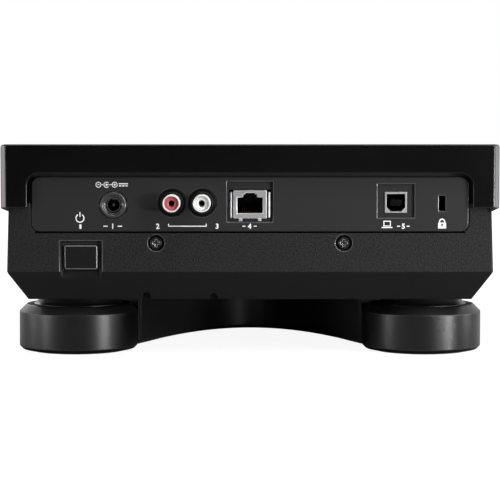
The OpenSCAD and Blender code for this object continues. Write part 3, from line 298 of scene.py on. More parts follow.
# Black nickel screws are dark. The brighter metal below is a painted glint on the rounded rims of their heads
# and drives, and the plain plating of the power inlet's ring and pin.
nickel_steel = metal("nickel_plated_screw", "#4a4a4d", 0.26, 0.8, depth=0.0005)
screw_edge = metal("bright_plating_and_painted_screw_glint", "#9a9a9c", 0.3, 0.8, depth=0.0003)
# Ground rods, a turned brass screw, and the gilt contacts inside the sockets, whose gold is darkened far
# below its own colour: painted shade deep in the openings.
ground_steel = metal("ground_steel", "#97999c", 0.28, 0.4, stretch=(1, 0.1, 1))
brass = metal("brass", "#b08d4a", 0.28, 0.4)
gold = metal("gold_contact_painted_shade", "#7d6633", 0.34, 0.6)
print("metals made; materials so far:", len(bpy.data.materials))

# %% [markdown]
# ## Spun aluminium
# The jog plate was turned against a tool, which leaves fine rings about its own axis.
# A wave texture in rings draws them, in coordinates that lie in the plate: a Mapping
# node moves the origin to the jog joint and leans it with the panel. The real rings are
# far finer; they are drawn 1.1 mm apart so that they show. A wave texture makes one ring
# in about 0.314 of its own units, which is where its scale comes from.

# %% Jog plate's aluminium
RING_PITCH = 1.1
WAVE_PITCH = 0.314

spun_aluminium, tree, shader = begin("spun_anodised_aluminium", "#5c5e62", 0.33, metallic=1.0)
local = add(tree, "ShaderNodeMapping", {"Vector": add(tree, "ShaderNodeTexCoord").outputs["Object"]},
            vector_type="TEXTURE", Location=tuple(jog_centre), Rotation=(lean, 0, 0))
rings = add(tree, "ShaderNodeTexWave", {"Vector": local.outputs["Vector"]}, wave_type="RINGS",
            rings_direction="Z", Scale=WAVE_PITCH / (RING_PITCH * MM), Distortion=0.0)
uneven = add(tree, "ShaderNodeTexNoise", {"Vector": local.outputs["Vector"]},
             Scale=1 / (0.8 * MM), Detail=2.0)
gloss = add(tree, "ShaderNodeMapRange", {"Value": rings.outputs["Fac"]}, To_Min=0.26, To_Max=0.42)
tree.links.new(gloss.outputs["Result"], shader.inputs["Roughness"])
sheen = add(tree, "ShaderNodeMix", {"Factor": uneven.outputs["Fac"]}, data_type="RGBA")
sheen.inputs["A"].default_value = colour("#55575b")
sheen.inputs["B"].default_value = colour("#66686c")
tree.links.new(sheen.outputs["Result"], shader.inputs["Base Color"])
grooves = add(tree, "ShaderNodeBump", {"Height": rings.outputs["Fac"]}, Strength=1.0, Distance=0.006 * MM)
tree.links.new(grooves.outputs["Normal"], shader.inputs["Normal"])
print("rings every", RING_PITCH, "mm about", [round(v, 3) for v in jog_centre])

# %% [markdown]
# ## Boards, acrylic and print
# The circuit boards have a green solder mask with copper showing faintly through: a
# Voronoi pattern with square cells of 3 mm stands for the tracks. The display's cover and
# the slot's bezel are polished acrylic: black, with a hard clear reflection. The marks by
# the sockets and on the keys are screen-printed ink, which is flat and dull.

# %% Boards, acrylic, felt and ink
TRACK = 3

board_mask, tree, shader = begin("solder_mask", "#123a26", 0.35)
place = add(tree, "ShaderNodeTexCoord").outputs["Object"]
tracks = add(tree, "ShaderNodeTexVoronoi", {"Vector": place}, Scale=1 / (TRACK * MM), distance="MANHATTAN")
shade = add(tree, "ShaderNodeMapRange", {"Value": tracks.outputs["Distance"]}, From_Min=0.2, From_Max=0.6)
mixed = add(tree, "ShaderNodeMix", {"Factor": shade.outputs["Result"]}, data_type="RGBA")
mixed.inputs["A"].default_value = colour("#17462e")
mixed.inputs["B"].default_value = colour("#0f3322")
tree.links.new(mixed.outputs["Result"], shader.inputs["Base Color"])

# Acrylic is cast and polished, so almost nothing scatters.
acrylic = moulded("polished_acrylic", "#040506", "#060708", 0.07, 2.0, 0.0005, specular=0.5, edge=0.25)
# Inks: green for play, amber for cue and pale grey for all the rest.
play_ink = moulded("green_key_ink", "#3f9a5c", "#48a465", 0.5, 0.3, 0.002, specular=0.3, edge=0.05)
cue_ink = moulded("amber_key_ink", "#c98a2e", "#d29437", 0.5, 0.3, 0.002, specular=0.3, edge=0.05)
# Wool felt in the slot swallows the light, and the film under the glass is nearly as dark.
felt = moulded("wool_felt", "#0c0c0c", "#1a1a1a", 0.95, 0.35, 0.15, specular=0.1, edge=0.2)
display_film = moulded("display_film", "#0c0f12", "#0f1215", 0.3, 0.6, 0.001, specular=0.3, edge=0.05)
ink = moulded("printed_ink", "#f4f4f6", "#fbfbfc", 0.6, 0.3, 0.002, specular=0.2, edge=0.05)
print("all materials:", len(bpy.data.materials))

# %% [markdown]
# ## Dress the CAD nodes
# Each CAD node keeps its mesh and takes the material of the real piece. The table below
# names the finish of every node; the list at the end shows if one was forgotten.

# %% Finishes of the CAD nodes
finishes = {
    satin_abs: ["upper_case"],
    spark_abs: ["lower_case"],
    panel_abs: ["jack_panel"],
    smooth_abs: ["riser_base"],
    power_abs: ["power_button"],
    foot_abs: ["foot_front_left", "foot_rear_left", "foot_front_right", "foot_rear_right"],
    pad_rubber: ["foot_pads", "feed_roller"],
    board_mask: ["main_board", "jack_board", "control_board"],
    inlet_pbt: ["dc_inlet"],
    connector_pbt: ["phono_housing", "tempo_fader", "display_module"],
    silver_plating: ["phono_sleeves"],
    core_red: ["phono_core_red"],
    core_white: ["phono_core_white"],
    tin: ["network_socket", "usb_b_socket", "usb_a_socket"],
    zinc: ["lock_bracket", "drive_frame", "drive_cover", "traverse_plate", "spindle_motor", "loading_motor",
           "jog_bearing"],
    nickel_steel: ["panel_screws"],
    black_zinc: ["case_screws"],
    acrylic: ["display_glass", "slot_bezel"],
    clamp_pom: ["disc_clamp"],
    ground_steel: ["guide_rods", "browse_plunger", "tempo_knob"],
    spun_aluminium: ["jog_plate"],
    brass: ["lead_screw"],
    mechanism_pom: ["pickup_sled", "turntable"],
    jog_abs: ["jog_wheel"],
    soft_touch: ["browse_knob"],
    play_abs: ["play_button"],
    cue_abs: ["cue_button"],
}
finished = {name for names in finishes.values() for name in names}
finishes[key_silicone] = sorted(name for name in nodes if name.endswith("_button") and name not in finished)
for finish, names in finishes.items():
    for name in names:
        nodes[name].data.materials.clear()
        nodes[name].data.materials.append(finish)
left_over = sorted(set(nodes) - {name for names in finishes.values() for name in names})
print("nodes without a finish:", left_over)

# %% [markdown]
# ## Camera
# The view is from behind, a little above the top of the case, through a long lens from
# 0.9 m. The camera looks down by four degrees, so it needs no lens shift.

# %% Camera
camera_distance = 0.9
camera_height = 0.112
camera_pitch = radians(3.91)
camera_data = bpy.data.cameras.new("camera")
camera_data.lens = 141.0
camera_data.sensor_width = 36.0
camera = bpy.data.objects.new("camera", camera_data)
bpy.context.scene.collection.objects.link(camera)
camera.location = (0, case_back + camera_distance, camera_height)
camera.rotation_euler = (pi / 2 - camera_pitch, 0, pi)
bpy.context.scene.camera = camera
print("camera at", [round(v, 3) for v in camera.location])

# %% [markdown]
# ## Copies of CAD nodes
# Real mouldings have no knife edges, so many CAD nodes get a copy with bevelled ones. A
# CAD node's mesh is loose triangles, and a bevel works along edges that join two faces.
# So `merged` takes a copy into a bmesh and merges the corners that lie in one place.

# %% Copies of CAD nodes
def merged(name):
    """A CAD node's surface as a bmesh, with the doubled corners along its edges merged."""
    bm = bmesh.new()
    bm.from_mesh(nodes[name].data)
    bmesh.ops.remove_doubles(bm, verts=bm.verts, dist=0.002 * MM)
    for face in bm.faces:
        face.material_index = 0
    return bm


print("triangles in the CAD nodes:", sum(len(node.data.polygons) for node in nodes.values()))

# %% [markdown]
# ## Room for a bevel
# Where a bevel is wider than the wall beside it, its new faces cross each other. So
# `roomy` looks at both faces of an edge and measures how far their other edges are from
# it, over the stretch beside it, and turns down an edge that one of them comes too near.

# %% Room for a bevel
TINY = 0.01 * MM
FACE_ROOM = 2.2
EDGE_ROOM = 1.15


def distance_beside(edge, other):
    """How far another edge is from an edge over the stretch beside it, or None if none of it is beside."""
    start = edge.verts[0].co
    along = edge.verts[1].co - start
    length = along.length
    along.normalize()
    a, b = [v.co - start for v in other.verts]
    t, u = a.dot(along), b.dot(along)
    if max(t, u) < TINY or min(t, u) > length - TINY:
        return None
    if edge.verts[0] in other.verts or edge.verts[1] in other.verts:
        return max(a.cross(along).length, b.cross(along).length)
    square = abs(u - t) <= TINY / 10
    spots = [a if square else a.lerp(b, min(max((s - t) / (u - t), 0), 1)) for s in (0, length)]
    spots += [spot for spot, s in ((a, t), (b, u)) if 0 < s < length]
    return min(spot.cross(along).length for spot in spots)


def roomy(edge, width):
    """True where both faces of an edge leave room beside it for a bevel of this width in mm."""
    start = edge.verts[0].co
    along = (edge.verts[1].co - start).normalized()
    for face in edge.link_faces:
        if max((v.co - start).cross(along).length for v in face.verts) < FACE_ROOM * width * MM:
            return False
        distances = [distance_beside(edge, other) for other in face.edges if other is not edge]
        if any(d is not None and d < EDGE_ROOM * width * MM for d in distances):
            return False
    return True


print("a bevel needs", FACE_ROOM, "widths across a face and", EDGE_ROOM, "to its next edge")

# %% [markdown]
# ## Rounded edges
# The cutter leaves small radii in the corners of a mould, so a moulding's outer edges are
# a little round, and each catches a thin line of light. `soften` joins the triangles of
# each flat and bevels the sharp outer edges that have room. It can give the new faces a
# finish of their own.

# %% Round the edges
SHARP = radians(30)


def soften(bm, width, segments=2, index=-1, where=None, polished=None):
    """Rounds each sharp outer edge by a width in mm, or those for which where(middle) is true.
    The new faces take the finish of the index, or only those for which polished(centre) is."""
    bmesh.ops.dissolve_limit(bm, angle_limit=radians(0.5), use_dissolve_boundaries=False,
                             verts=bm.verts, edges=bm.edges, delimit={"MATERIAL"})
    sharp = [e for e in bm.edges if len(e.link_faces) == 2 and e.is_convex
             and e.calc_face_angle(0) > SHARP and roomy(e, width)]
    chosen = [e for e in sharp if not where or where((e.verts[0].co + e.verts[1].co) / 2 / MM)]
    made = bmesh.ops.bevel(bm, geom=chosen, offset=width * MM, offset_type="OFFSET", affect="EDGES",
                           segments=segments, profile=0.5, material=-1, clamp_overlap=False)
    for face in (made["faces"] if index >= 0 else []):
        if not polished or polished(face.calc_center_median() / MM):
            face.material_index = index


print("outer edges that turn by more than", round(degrees(SHARP)), "degrees can be rounded")

# %% [markdown]
# ## Pieces
# `piece` turns a bmesh into an object that rides on a body and takes its finishes. `softened`
# rounds a copy of a CAD node, makes it such a piece and puts it in the node's place. A
# weighted-normal modifier keeps the flats flat beside their small bevels.


def piece(name, bm, finishes, body, smooth=35):
    """A bmesh as a piece of the player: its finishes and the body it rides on."""
    bmesh.ops.recalc_face_normals(bm, faces=bm.faces)
    mesh = bpy.data.meshes.new(name)
    bm.to_mesh(mesh)
    bm.free()
    mesh.shade_smooth()
    mesh.set_sharp_from_angle(angle=radians(smooth))
    made = bpy.data.objects.new(name, mesh)
    bpy.context.scene.collection.objects.link(made)
    for finish in (finishes if isinstance(finishes, list) else [finishes]):
        mesh.materials.append(finish)
    made.modifiers.new("flat_faces", "WEIGHTED_NORMAL").keep_sharp = True
    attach(made, body)
    return made


def softened(name, width, finish, inner=None, inside=None, segments=2, edge=None, polished=None, where=None):
    """A CAD node with rounded edges, which may have a finish of their own.
    Faces for which inside(centre) is true take the inner finish."""
    bm = merged(name)
    for face in (bm.faces if inside else []):
        face.material_index = 1 if inside(face.calc_center_median() / MM) else 0
    soften(bm, width, segments=segments, index=2 if edge else -1, where=where, polished=polished)
    made = piece(name + "_finished", bm, [finish, inner or finish, edge or finish],
                 nodes[name]["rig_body"])
    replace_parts(made, name)
    return made


# %% [markdown]
# ## The cases
# The big mouldings have edge radii of half a millimetre. Two rims stay sharp, because
# their walls are too thin to round: the lower case's rim, which follows the slope of the
# panel, and the upper case's lip at the front. The lower case has two finishes: the spark
# grain on its upright walls and a finer one below their bend. Round the power button's
# recess and the screws' recesses the rounded edges take a glossier and lighter finish; the
# lighter colour is a painted highlight, a line of light along those edges. The jack panel's
# and the power button's rounded edges take such a painted highlight all round.

# %% Cases, panel and base
tub_bend = 40.1
rim_front_y, rim_front_z = -148, 43
lip_back_y = -140
power_x = middle("power_button").x / MM
screw_low, screw_high = (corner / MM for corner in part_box("panel_screws"))
screw_x = screw_high.x - 3.2
screw_z = (screw_low.z + screw_high.z) / 2
power_reach, screw_reach, back_start_y = 12, 5, 120


def below_rim(c):
    """True below the lower case's rim, for a point in mm."""
    return c.z < rim_front_z + (c.y - rim_front_y) * tan(lean)


def behind_lip(c):
    """True away from the upper case's front lip."""
    return c.y >= lip_back_y or c.z >= rim_front_z


def by_recess(c):
    """True by the recesses of the power button and of the two screws."""
    by_power = abs(c.x - power_x) < power_reach and c.z > tub_bend + 0.8
    by_screw = abs(abs(c.x) - screw_x) < screw_reach and abs(c.z - screw_z) < screw_reach
    return c.y > back_start_y and (by_power or by_screw)


softened("upper_case", 0.5, satin_abs, where=behind_lip)
# Round the recesses, the lower case's rounded edges take the lighter edge finish: a painted highlight.
softened("lower_case", 0.4, spark_abs, tub_abs, lambda c: c.z < tub_bend - 0.3,
         edge=case_edge, polished=by_recess, where=below_rim)
# The jack panel's and the power button's rounded edges take their lighter edge finish: a painted highlight.
softened("jack_panel", 0.45, panel_abs, segments=1, edge=panel_edge)
softened("riser_base", 0.5, smooth_abs)
softened("power_button", 0.55, power_abs, edge=key_edge)
print("screws at x =", round(screw_x, 1), "z =", round(screw_z, 1))
print("power button at x =", round(power_x, 1))

# %% [markdown]
# ## Controls and feet
# The controls are smaller and so are their radii. The jog wheel's and the browse knob's
# knurls are finer than any bevel, so only what lies above them is rounded. Each foot has
# three finishes by height: grained walls, a satin ring above them and a matt toe.

# %% Controls and feet
def height_above_joint(c):
    """The height in mm of a point in mm above the jog wheel's joint, square to the panel."""
    return (c * MM - jog_centre).dot(out) / MM


softened("slot_bezel", 0.35, acrylic)
softened("display_glass", 0.25, acrylic)
softened("browse_knob", 0.2, soft_touch, where=lambda c: height_above_joint(c) > 5.5)
softened("tempo_knob", 0.3, ground_steel)
softened("jog_wheel", 0.25, jog_abs, where=lambda c: height_above_joint(c) > 4)

foot_names = ["foot_front_left", "foot_rear_left", "foot_front_right", "foot_rear_right"]
foot_top, foot_wall_top, foot_wall_base = 22.3, 18.8, 2.4
for name in foot_names:
    bm = merged(name)
    for face in bm.faces:
        height = face.calc_center_median().z / MM
        if foot_wall_top < height < foot_top - 0.1:
            face.material_index = 2
        else:
            face.material_index = 0 if foot_wall_base < height < foot_wall_top else 1
    soften(bm, 0.25, index=2)
    made = piece(name + "_finished", bm, [foot_abs, foot_matt, foot_satin],
                 nodes[name]["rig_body"])
    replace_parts(made, name)
for name in sorted(nodes):
    if name.endswith("_button") and name != "power_button":
        softened(name, 0.25, nodes[name].data.materials[0])

# %% [markdown]
# ## Sockets
# A network socket is a tinned shield round a black insert with eight gilt springs, and
# the square data socket is a shield with a black tongue. The CAD has each as one solid,
# so its copy here gives the faces inside the opening the insert's plastic. The rounded
# edges of the network socket's shield take a white metal: a painted highlight, brighter than its face.

# %% Socket shields and inserts
square_mid = middle("usb_b_socket") / MM
shield_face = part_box("network_socket")[1].y / MM
inlet_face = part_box("dc_inlet")[1].y / MM
inlet_radius, bore_radius, bore_mouth_y = 6.5, 3, 139.4
inlet_x = middle("dc_inlet").x / MM
inlet_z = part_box("dc_inlet")[1].z / MM - inlet_radius


def opening(x, half_width, floor, roof):
    """A test for points in mm that lie in a shield's opening about x, behind the shield's face."""
    return lambda c: abs(c.x - x) < half_width and c.y < shield_face - 0.1 and floor < c.z < roof


def in_inlet(c):
    """True on the walls of the power inlet's bore."""
    return Vector((c.x - inlet_x, c.z - inlet_z)).length < bore_radius and c.y < bore_mouth_y


# The shield's rounded edges take the white tinned metal: a painted highlight.
softened("network_socket", 0.3, tin, connector_pbt, opening(0, 5.9, 67.2, 76.7), segments=1, edge=tin_edge)
softened("usb_b_socket", 0.12, tin, connector_pbt, opening(square_mid.x, 4.3, 68, 76.2))
softened("dc_inlet", 0.25, inlet_pbt, connector_pbt, in_inlet)
softened("phono_housing", 0.3, connector_pbt)
print("shield face at y =", round(shield_face, 2), "mm; power inlet at", round(inlet_x, 2), round(inlet_z, 2))

# %% [markdown]
# ## Contacts
# Deep in each opening, gilt or plated springs catch a little light, and without them an
# opening looks painted on. A spring is a strip of sheet: its cross-section is extruded
# from point to point of a short path. The square socket's contacts are plain flat bars.

# %% Spring contacts
def box_at(bm, low, high):
    """Adds a box between two corners in mm."""
    low, high = Vector(low) * MM, Vector(high) * MM
    size = high - low
    matrix = Matrix.Translation((low + high) / 2) @ Matrix.Diagonal((size.x, size.y, size.z, 1))
    bmesh.ops.create_cube(bm, size=1, matrix=matrix)


def strip(bm, x, width, thickness, path):
    """Adds a spring strip at x: its cross-section is extruded along a path of [y, z] in mm."""
    left, right = x - width / 2, x + width / 2
    y, z = path[0]
    corners = [(left, y, z), (right, y, z), (right, y, z + thickness), (left, y, z + thickness)]
    start = end = bm.faces.new([bm.verts.new(Vector(corner) * MM) for corner in corners])
    for (y, z), (next_y, next_z) in zip(path, path[1:]):
        grown = bmesh.ops.extrude_face_region(bm, geom=[end])
        if end is not start:
            bm.faces.remove(end)
        end = next(made for made in grown["geom"] if isinstance(made, bmesh.types.BMFace))
        bmesh.ops.translate(bm, vec=Vector((0, next_y - y, next_z - z)) * MM, verts=end.verts)


# The springs and bars take the darkened gold: painted shade deep in the sockets.
network_contacts, network_pitch = 8, 1.02
bm = bmesh.new()
for i in range(network_contacts):
    strip(bm, (i - (network_contacts - 1) / 2) * network_pitch, width=0.5, thickness=0.25,
          path=[(137.6, 67.3), (136.6, 67.7), (134, 69.4), (130, 71.4)])
piece("network_springs", bm, gold, "chassis")

bm = bmesh.new()
for x in (-1.1, 1.1):
    for z in (70.78, 73.3):
        box_at(bm, (square_mid.x + x - 0.55, 134, z), (square_mid.x + x + 0.55, 139.8, z + 0.12))
piece("square_socket_contacts", bm, gold, "chassis")

bm = bmesh.new()
strip(bm, inlet_x, width=1.6, thickness=0.2,
      path=[(139, inlet_z + 2.7), (136.5, inlet_z + 2.1), (132, inlet_z + 2.5)])
piece("power_inlet_spring", bm, nickel, "chassis")
print("network springs every", network_pitch, "mm; square socket at x =", round(square_mid.x, 2))

# %% [markdown]
# ## Turned pieces
# Phono sleeves, their cores, rings and collars are all round about an axis that leaves
# the back. `turned` spins a closed profile of radius and height all the way round and
# merges the seam, which is how a lathe would make the piece. The sleeves are tubes with
# a chamfered mouth, and each core has a groove round its hole.

# %% Phono sleeves and cores
phono_low, phono_high = (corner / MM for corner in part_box("phono_sleeves"))
phono_z = (phono_low.z + phono_high.z) / 2
sleeve_base, sleeve_end = phono_low.y, phono_high.y
red_x = middle("phono_core_red").x / MM
white_x = middle("phono_core_white").x / MM


def turned(bm, profile, matrix, steps=48):
    """Adds a turned form: a closed profile of [radius, height] in mm, spun about local Z."""
    made = [bm.verts.new((r * MM, 0, h * MM)) for r, h in profile]
    ring = [bm.edges.new((made[i], made[(i + 1) % len(made)])) for i in range(len(made))]
    before = set(bm.verts) - set(made)
    bmesh.ops.spin(bm, geom=made + ring, cent=(0, 0, 0), axis=(0, 0, 1), angle=2 * pi, steps=steps,
                   use_merge=True)
    spun = [v for v in bm.verts if v not in before]
    bmesh.ops.remove_doubles(bm, verts=spun, dist=0.001 * MM)
    bmesh.ops.transform(bm, matrix=matrix, verts=[v for v in bm.verts if v not in before])


def phono_matrix(x, y):
    """The axis of the phono socket at x, starting at y, both in mm."""
    return back_matrix(x * MM, phono_z * MM, y * MM)


bm = bmesh.new()
length = sleeve_end - sleeve_base
for x in (red_x, white_x):
    turned(bm, [(3.3, 0), (3.3, length - 0.3), (3.45, length), (3.8, length), (4.05, length - 0.35),
                (4.05, 0)],
           phono_matrix(x, sleeve_base))
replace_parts(piece("phono_sleeves_turned", bm, silver_plating, "chassis"), "phono_sleeves")

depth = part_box("phono_core_red")[1].y / MM - sleeve_base
for name, x, finish in (("phono_core_red", red_x, core_red), ("phono_core_white", white_x, core_white)):
    bm = bmesh.new()
    turned(bm, [(1.5, 0), (1.5, depth - 0.9), (1.95, depth - 0.1), (2.35, depth), (2.45, depth - 0.35),
                (2.6, depth - 0.35), (2.7, depth), (3.0, depth), (3.15, depth - 0.2), (3.15, 0)],
           phono_matrix(x, sleeve_base))
    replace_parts(piece(name + "_turned", bm, finish, nodes[name]["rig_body"]), name)
print("phono sockets at x =", round(red_x, 2), "and", round(white_x, 2), "mm")

# %% [markdown]
# ## Rings and collars
# The phono housing has a raised ring round each socket, and behind each core's hole lie
# a plate and a tubular spring. The power inlet has a plated ring and pin, and a rounded
# collar in front. A satin collar fills the step between each foot and the case.

# %% Rings, springs and collars
housing_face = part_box("phono_housing")[1].y / MM
bm = bmesh.new()
for x in (red_x, white_x):
    turned(bm, [(0, 0), (1.6, 0), (1.6, 0.4), (0, 0.4)], phono_matrix(x, sleeve_base + 0.5))
    turned(bm, [(4.75, -0.3), (4.75, 0.5), (4.95, 0.7), (5.15, 0.5), (5.15, -0.3)],
           phono_matrix(x, housing_face))
piece("phono_housing_rings", bm, ring_pbt, "chassis")

bm = bmesh.new()
for x in (red_x, white_x):
    turned(bm, [(1.62, 0), (1.62, 6), (1.38, 6), (1.28, 3), (1.38, 0)], phono_matrix(x, sleeve_end - 8.5))
piece("phono_springs", bm, nickel, "chassis")

bm = bmesh.new()
for name in foot_names:
    centre = middle(name)
    turned(bm, [(15.6, 22.1), (21.4, 22.1), (21.4, 22.5), (20.6, 22.9), (19.2, 24.2), (18.4, 26.45),
                (15.6, 26.45)],
           Matrix.Translation((centre.x, centre.y, 0)))
piece("foot_collars", bm, foot_satin, "chassis")


def inlet_matrix(y):
    """The power inlet's axis, starting at y in mm."""
    return back_matrix(inlet_x * MM, inlet_z * MM, y * MM)


bm = bmesh.new()
turned(bm, [(2.95, 0), (3.45, 0), (3.3, 0.3), (2.95, 0.3)], inlet_matrix(139.45))
turned(bm, [(0, 0), (0.55, 0), (0.75, -0.25), (0.75, -3.0), (0, -3.0)], inlet_matrix(139.0))
piece("power_inlet_ring", bm, screw_edge, "chassis")

bm = bmesh.new()
turned(bm, [(4.45, -0.2), (4.45, 0.25), (4.75, 0.75), (5.3, 0.95), (5.85, 0.7), (6.15, 0.1), (6.15, -0.2)],
       inlet_matrix(inlet_face))
piece("power_inlet_collar", bm, inlet_pbt, "chassis", smooth=60)
print("rings on the phono housing at y =", round(housing_face, 2), "mm")

# %% [markdown]
# ## Recess floors
# The network and square sockets sit in recesses of the jack panel. A thin floor closes
# the gap round each shield: one outline inside another, bridged and thickened. Both have
# the same number of corners, so a bridge between them has no twist.

# %% Recess floors round the sockets
def surround(name, outer, hole, front, back):
    """A plate from front to back in mm: outer and hole are outlines of [x, z] with as many corners."""
    bm = bmesh.new()
    loops = []
    for outline in (outer, hole):
        made = [bm.verts.new((x * MM, front * MM, z * MM)) for x, z in outline]
        loops += [bm.edges.new((made[i], made[(i + 1) % len(made)])) for i in range(len(made))]
    bmesh.ops.bridge_loops(bm, edges=loops)
    grown = bmesh.ops.extrude_face_region(bm, geom=list(bm.faces))
    moved = [v for v in grown["geom"] if isinstance(v, bmesh.types.BMVert)]
    bmesh.ops.translate(bm, vec=(0, (back - front) * MM, 0), verts=moved)
    return piece(name, bm, panel_abs, "chassis")


def rectangle(x, z, w, h, cut=0.0):
    """A rectangle about x, z as six corners in mm, its two lower ones cut."""
    left, right, low, high = x - w / 2, x + w / 2, z - h / 2, z + h / 2
    cut = max(cut, 0.01)
    return [(left, high), (right, high), (right, low + cut), (right - cut, low), (left + cut, low),
            (left, low + cut)]


square_shield_height = 9.65
square_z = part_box("usb_b_socket")[1].z / MM - square_shield_height / 2
network_recess = rectangle(0, 72.55, 21.1, 18.6)
network_shield = rectangle(0, 71.35, 19.3, 13.6)
square_recess = rectangle(square_mid.x, 72.95, 16.9, 15.5)
square_shield = rectangle(square_mid.x, square_z, 10.0, 9.5, cut=2.3)
surround("network_recess_floor", network_recess, network_shield, front=140.5, back=139.7)
surround("square_recess_floor", square_recess, square_shield, front=140.6, back=140.3)
print("square socket's middle at z =", round(square_z, 2))

# %% [markdown]
# ## Tabs, seam shadow and screws
# Two folded tabs hold the network socket's shield to its board. A thin near-black strip
# in the seam under the jack panel is painted shadow; it stands just clear of the case, so
# the seam reads as a black line. The screws' faces get rounded edges in a brighter metal: a painted glint.

# %% Tabs, seam shadow and screws
network_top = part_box("network_socket")[1].z / MM
tab_x, tab_width = 4.4, 1.6
bm = bmesh.new()
for x in (-tab_x, tab_x):
    box_at(bm, (x - tab_width / 2, 139.8, network_top - 14.2),
           (x + tab_width / 2, shield_face - 0.1, network_top - 13.0))
# The tabs' rounded edges take the white tinned metal: a painted highlight.
soften(bm, 0.2, index=1)
piece("network_socket_tabs", bm, [tin, tin_edge], "chassis")

# The strip is painted shadow: near-black, where the seam only has shade.
seam_shadow_low, seam_shadow_high, seam_shadow_reach, seam_shadow_proud = 58.1, 58.8, 99.4, 0.03
bm = bmesh.new()
box_at(bm, (-seam_shadow_reach, 141.0, seam_shadow_low), (seam_shadow_reach, jack_face / MM + seam_shadow_proud, seam_shadow_high))
piece("jack_panel_seam_shadow", bm, seam_painted_shadow, "chassis")

bm = merged("panel_screws")
# The rounded edges of the screws' faces take the brighter metal: a painted glint.
soften(bm, 0.3, where=lambda c: c.y > screw_high.y - 0.1, index=1)
screws = piece("panel_screws_finished", bm, [nickel_steel, screw_edge], "chassis")
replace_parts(screws, "panel_screws")
print("seam closed from z =", seam_shadow_low, "to", seam_shadow_high, "mm")

# %% [markdown]
# ## Printed marks
# Marks are flat shapes, drawn in millimetres as the reader sees them, with x to their
# right and y up. A bar, a disc, an arc and the outline of a rectangle make almost every
# sign.

# %% Flat shapes
def polygon(bm, points):
    """A flat face through points in mm."""
    bm.faces.new([bm.verts.new((x * MM, y * MM, 0)) for x, y in points])


def bar(bm, x, y, w, h):
    """A filled rectangle about x, y."""
    left, right, low, high = x - w / 2, x + w / 2, y - h / 2, y + h / 2
    polygon(bm, [(left, low), (right, low), (right, high), (left, high)])


def disc(bm, x, y, r, steps=24):
    """A filled circle."""
    bmesh.ops.create_circle(bm, cap_ends=True, segments=steps, radius=r * MM,
                            matrix=Matrix.Translation((x * MM, y * MM, 0)))


def arc(bm, x, y, r, line, start=0, end=360, steps=32):
    """A ring or part of one: an edge as long as the line is wide, spun from start to end in degrees."""
    centre = Vector((x, y, 0)) * MM
    way = Vector((cos(radians(start)), sin(radians(start)), 0)) * MM
    ends = [bm.verts.new(centre + k * way) for k in (r - line / 2, r + line / 2)]
    bmesh.ops.spin(bm, geom=[*ends, bm.edges.new(ends)], cent=centre, axis=(0, 0, 1),
                   angle=radians(end - start), steps=steps, use_merge=end - start == 360)


def frame_of(bm, x, y, w, h, line):
    """The outline of a rectangle."""
    bar(bm, x, y + (h - line) / 2, w, line)
    bar(bm, x, y - (h - line) / 2, w, line)
    bar(bm, x - (w - line) / 2, y, line, h - 2 * line)
    bar(bm, x + (w - line) / 2, y, line, h - 2 * line)


print("flat shapes ready")

# %% [markdown]
# ## Numerals and ink
# Numerals come from Blender's own font, as a curve that becomes a mesh. The font's digits
# are 0.73 of its size high, and a small offset makes them bold. `print_on` thickens
# flat marks to a film of ink and lays them just clear of a surface, because two faces in
# the same place would flicker.

# %% Numerals and ink
DIGIT_HEIGHT = 0.73
BOLD = 0.035


def numeral(bm, text, x, y, height):
    """A plain number about x, y, as tall as height."""
    curve = bpy.data.curves.new("numeral", "FONT")
    curve.body = text
    curve.size = height * MM / DIGIT_HEIGHT
    curve.offset = BOLD * height * MM
    curve.align_x = "CENTER"
    curve.align_y = "CENTER"
    curve.resolution_u = 4
    holder = bpy.data.objects.new("numeral", curve)
    bpy.context.scene.collection.objects.link(holder)
    bpy.context.view_layer.update()
    flat = bpy.data.meshes.new_from_object(holder.evaluated_get(bpy.context.evaluated_depsgraph_get()))
    old = set(bm.verts)
    bm.from_mesh(flat)
    bmesh.ops.remove_doubles(bm, verts=[v for v in bm.verts if v not in old], dist=0.0005 * MM)
    fresh = [v for v in bm.verts if v not in old]
    middle_x = (max(v.co.x for v in fresh) + min(v.co.x for v in fresh)) / 2
    middle_y = (max(v.co.y for v in fresh) + min(v.co.y for v in fresh)) / 2
    bmesh.ops.translate(bm, vec=(x * MM - middle_x, y * MM - middle_y, 0), verts=fresh)
    bpy.data.objects.remove(holder)
    bpy.data.curves.remove(curve)
    bpy.data.meshes.remove(flat)


def print_on(name, bm, matrix, finish, body, film=0.03, proud=0.01):
    """Flat marks as a film of ink on a surface, with its thickness and its gap in mm."""
    bmesh.ops.recalc_face_normals(bm, faces=bm.faces)
    lifted = bmesh.ops.extrude_face_region(bm, geom=list(bm.faces))
    top = [v for v in lifted["geom"] if isinstance(v, bmesh.types.BMVert)]
    bmesh.ops.translate(bm, vec=(0, 0, film * MM), verts=top)
    bmesh.ops.translate(bm, vec=(0, 0, proud * MM), verts=bm.verts)
    bm.transform(matrix)
    return piece(name, bm, finish, body)


print("numerals are drawn", round(1 / DIGIT_HEIGHT, 2), "times as large as they are tall")

# %% [markdown]
# ## Marks on the jack panel
# Plain numbers stand for the sockets, and a line joins the numbers of a pair. The signs
# are generic ones: standby over the power button, polarity over the power inlet, with a
# full and a dashed line for direct current, then a portable computer and a padlock.

# %% Standby, polarity and direct current
sign_y = 80.45
standby_x, minus_x, plus_x, tip_x, direct_x = -78.5, -69.9, -62.4, -66.15, -58.4
marks = bmesh.new()

# standby sign, with a small bar under it
arc(marks, standby_x, 65.0, 1.85, 0.5, 120, 420)
bar(marks, standby_x, 66.7, 0.5, 2.3)
bar(marks, standby_x + 0.2, 61.1, 1.0, 2.0)

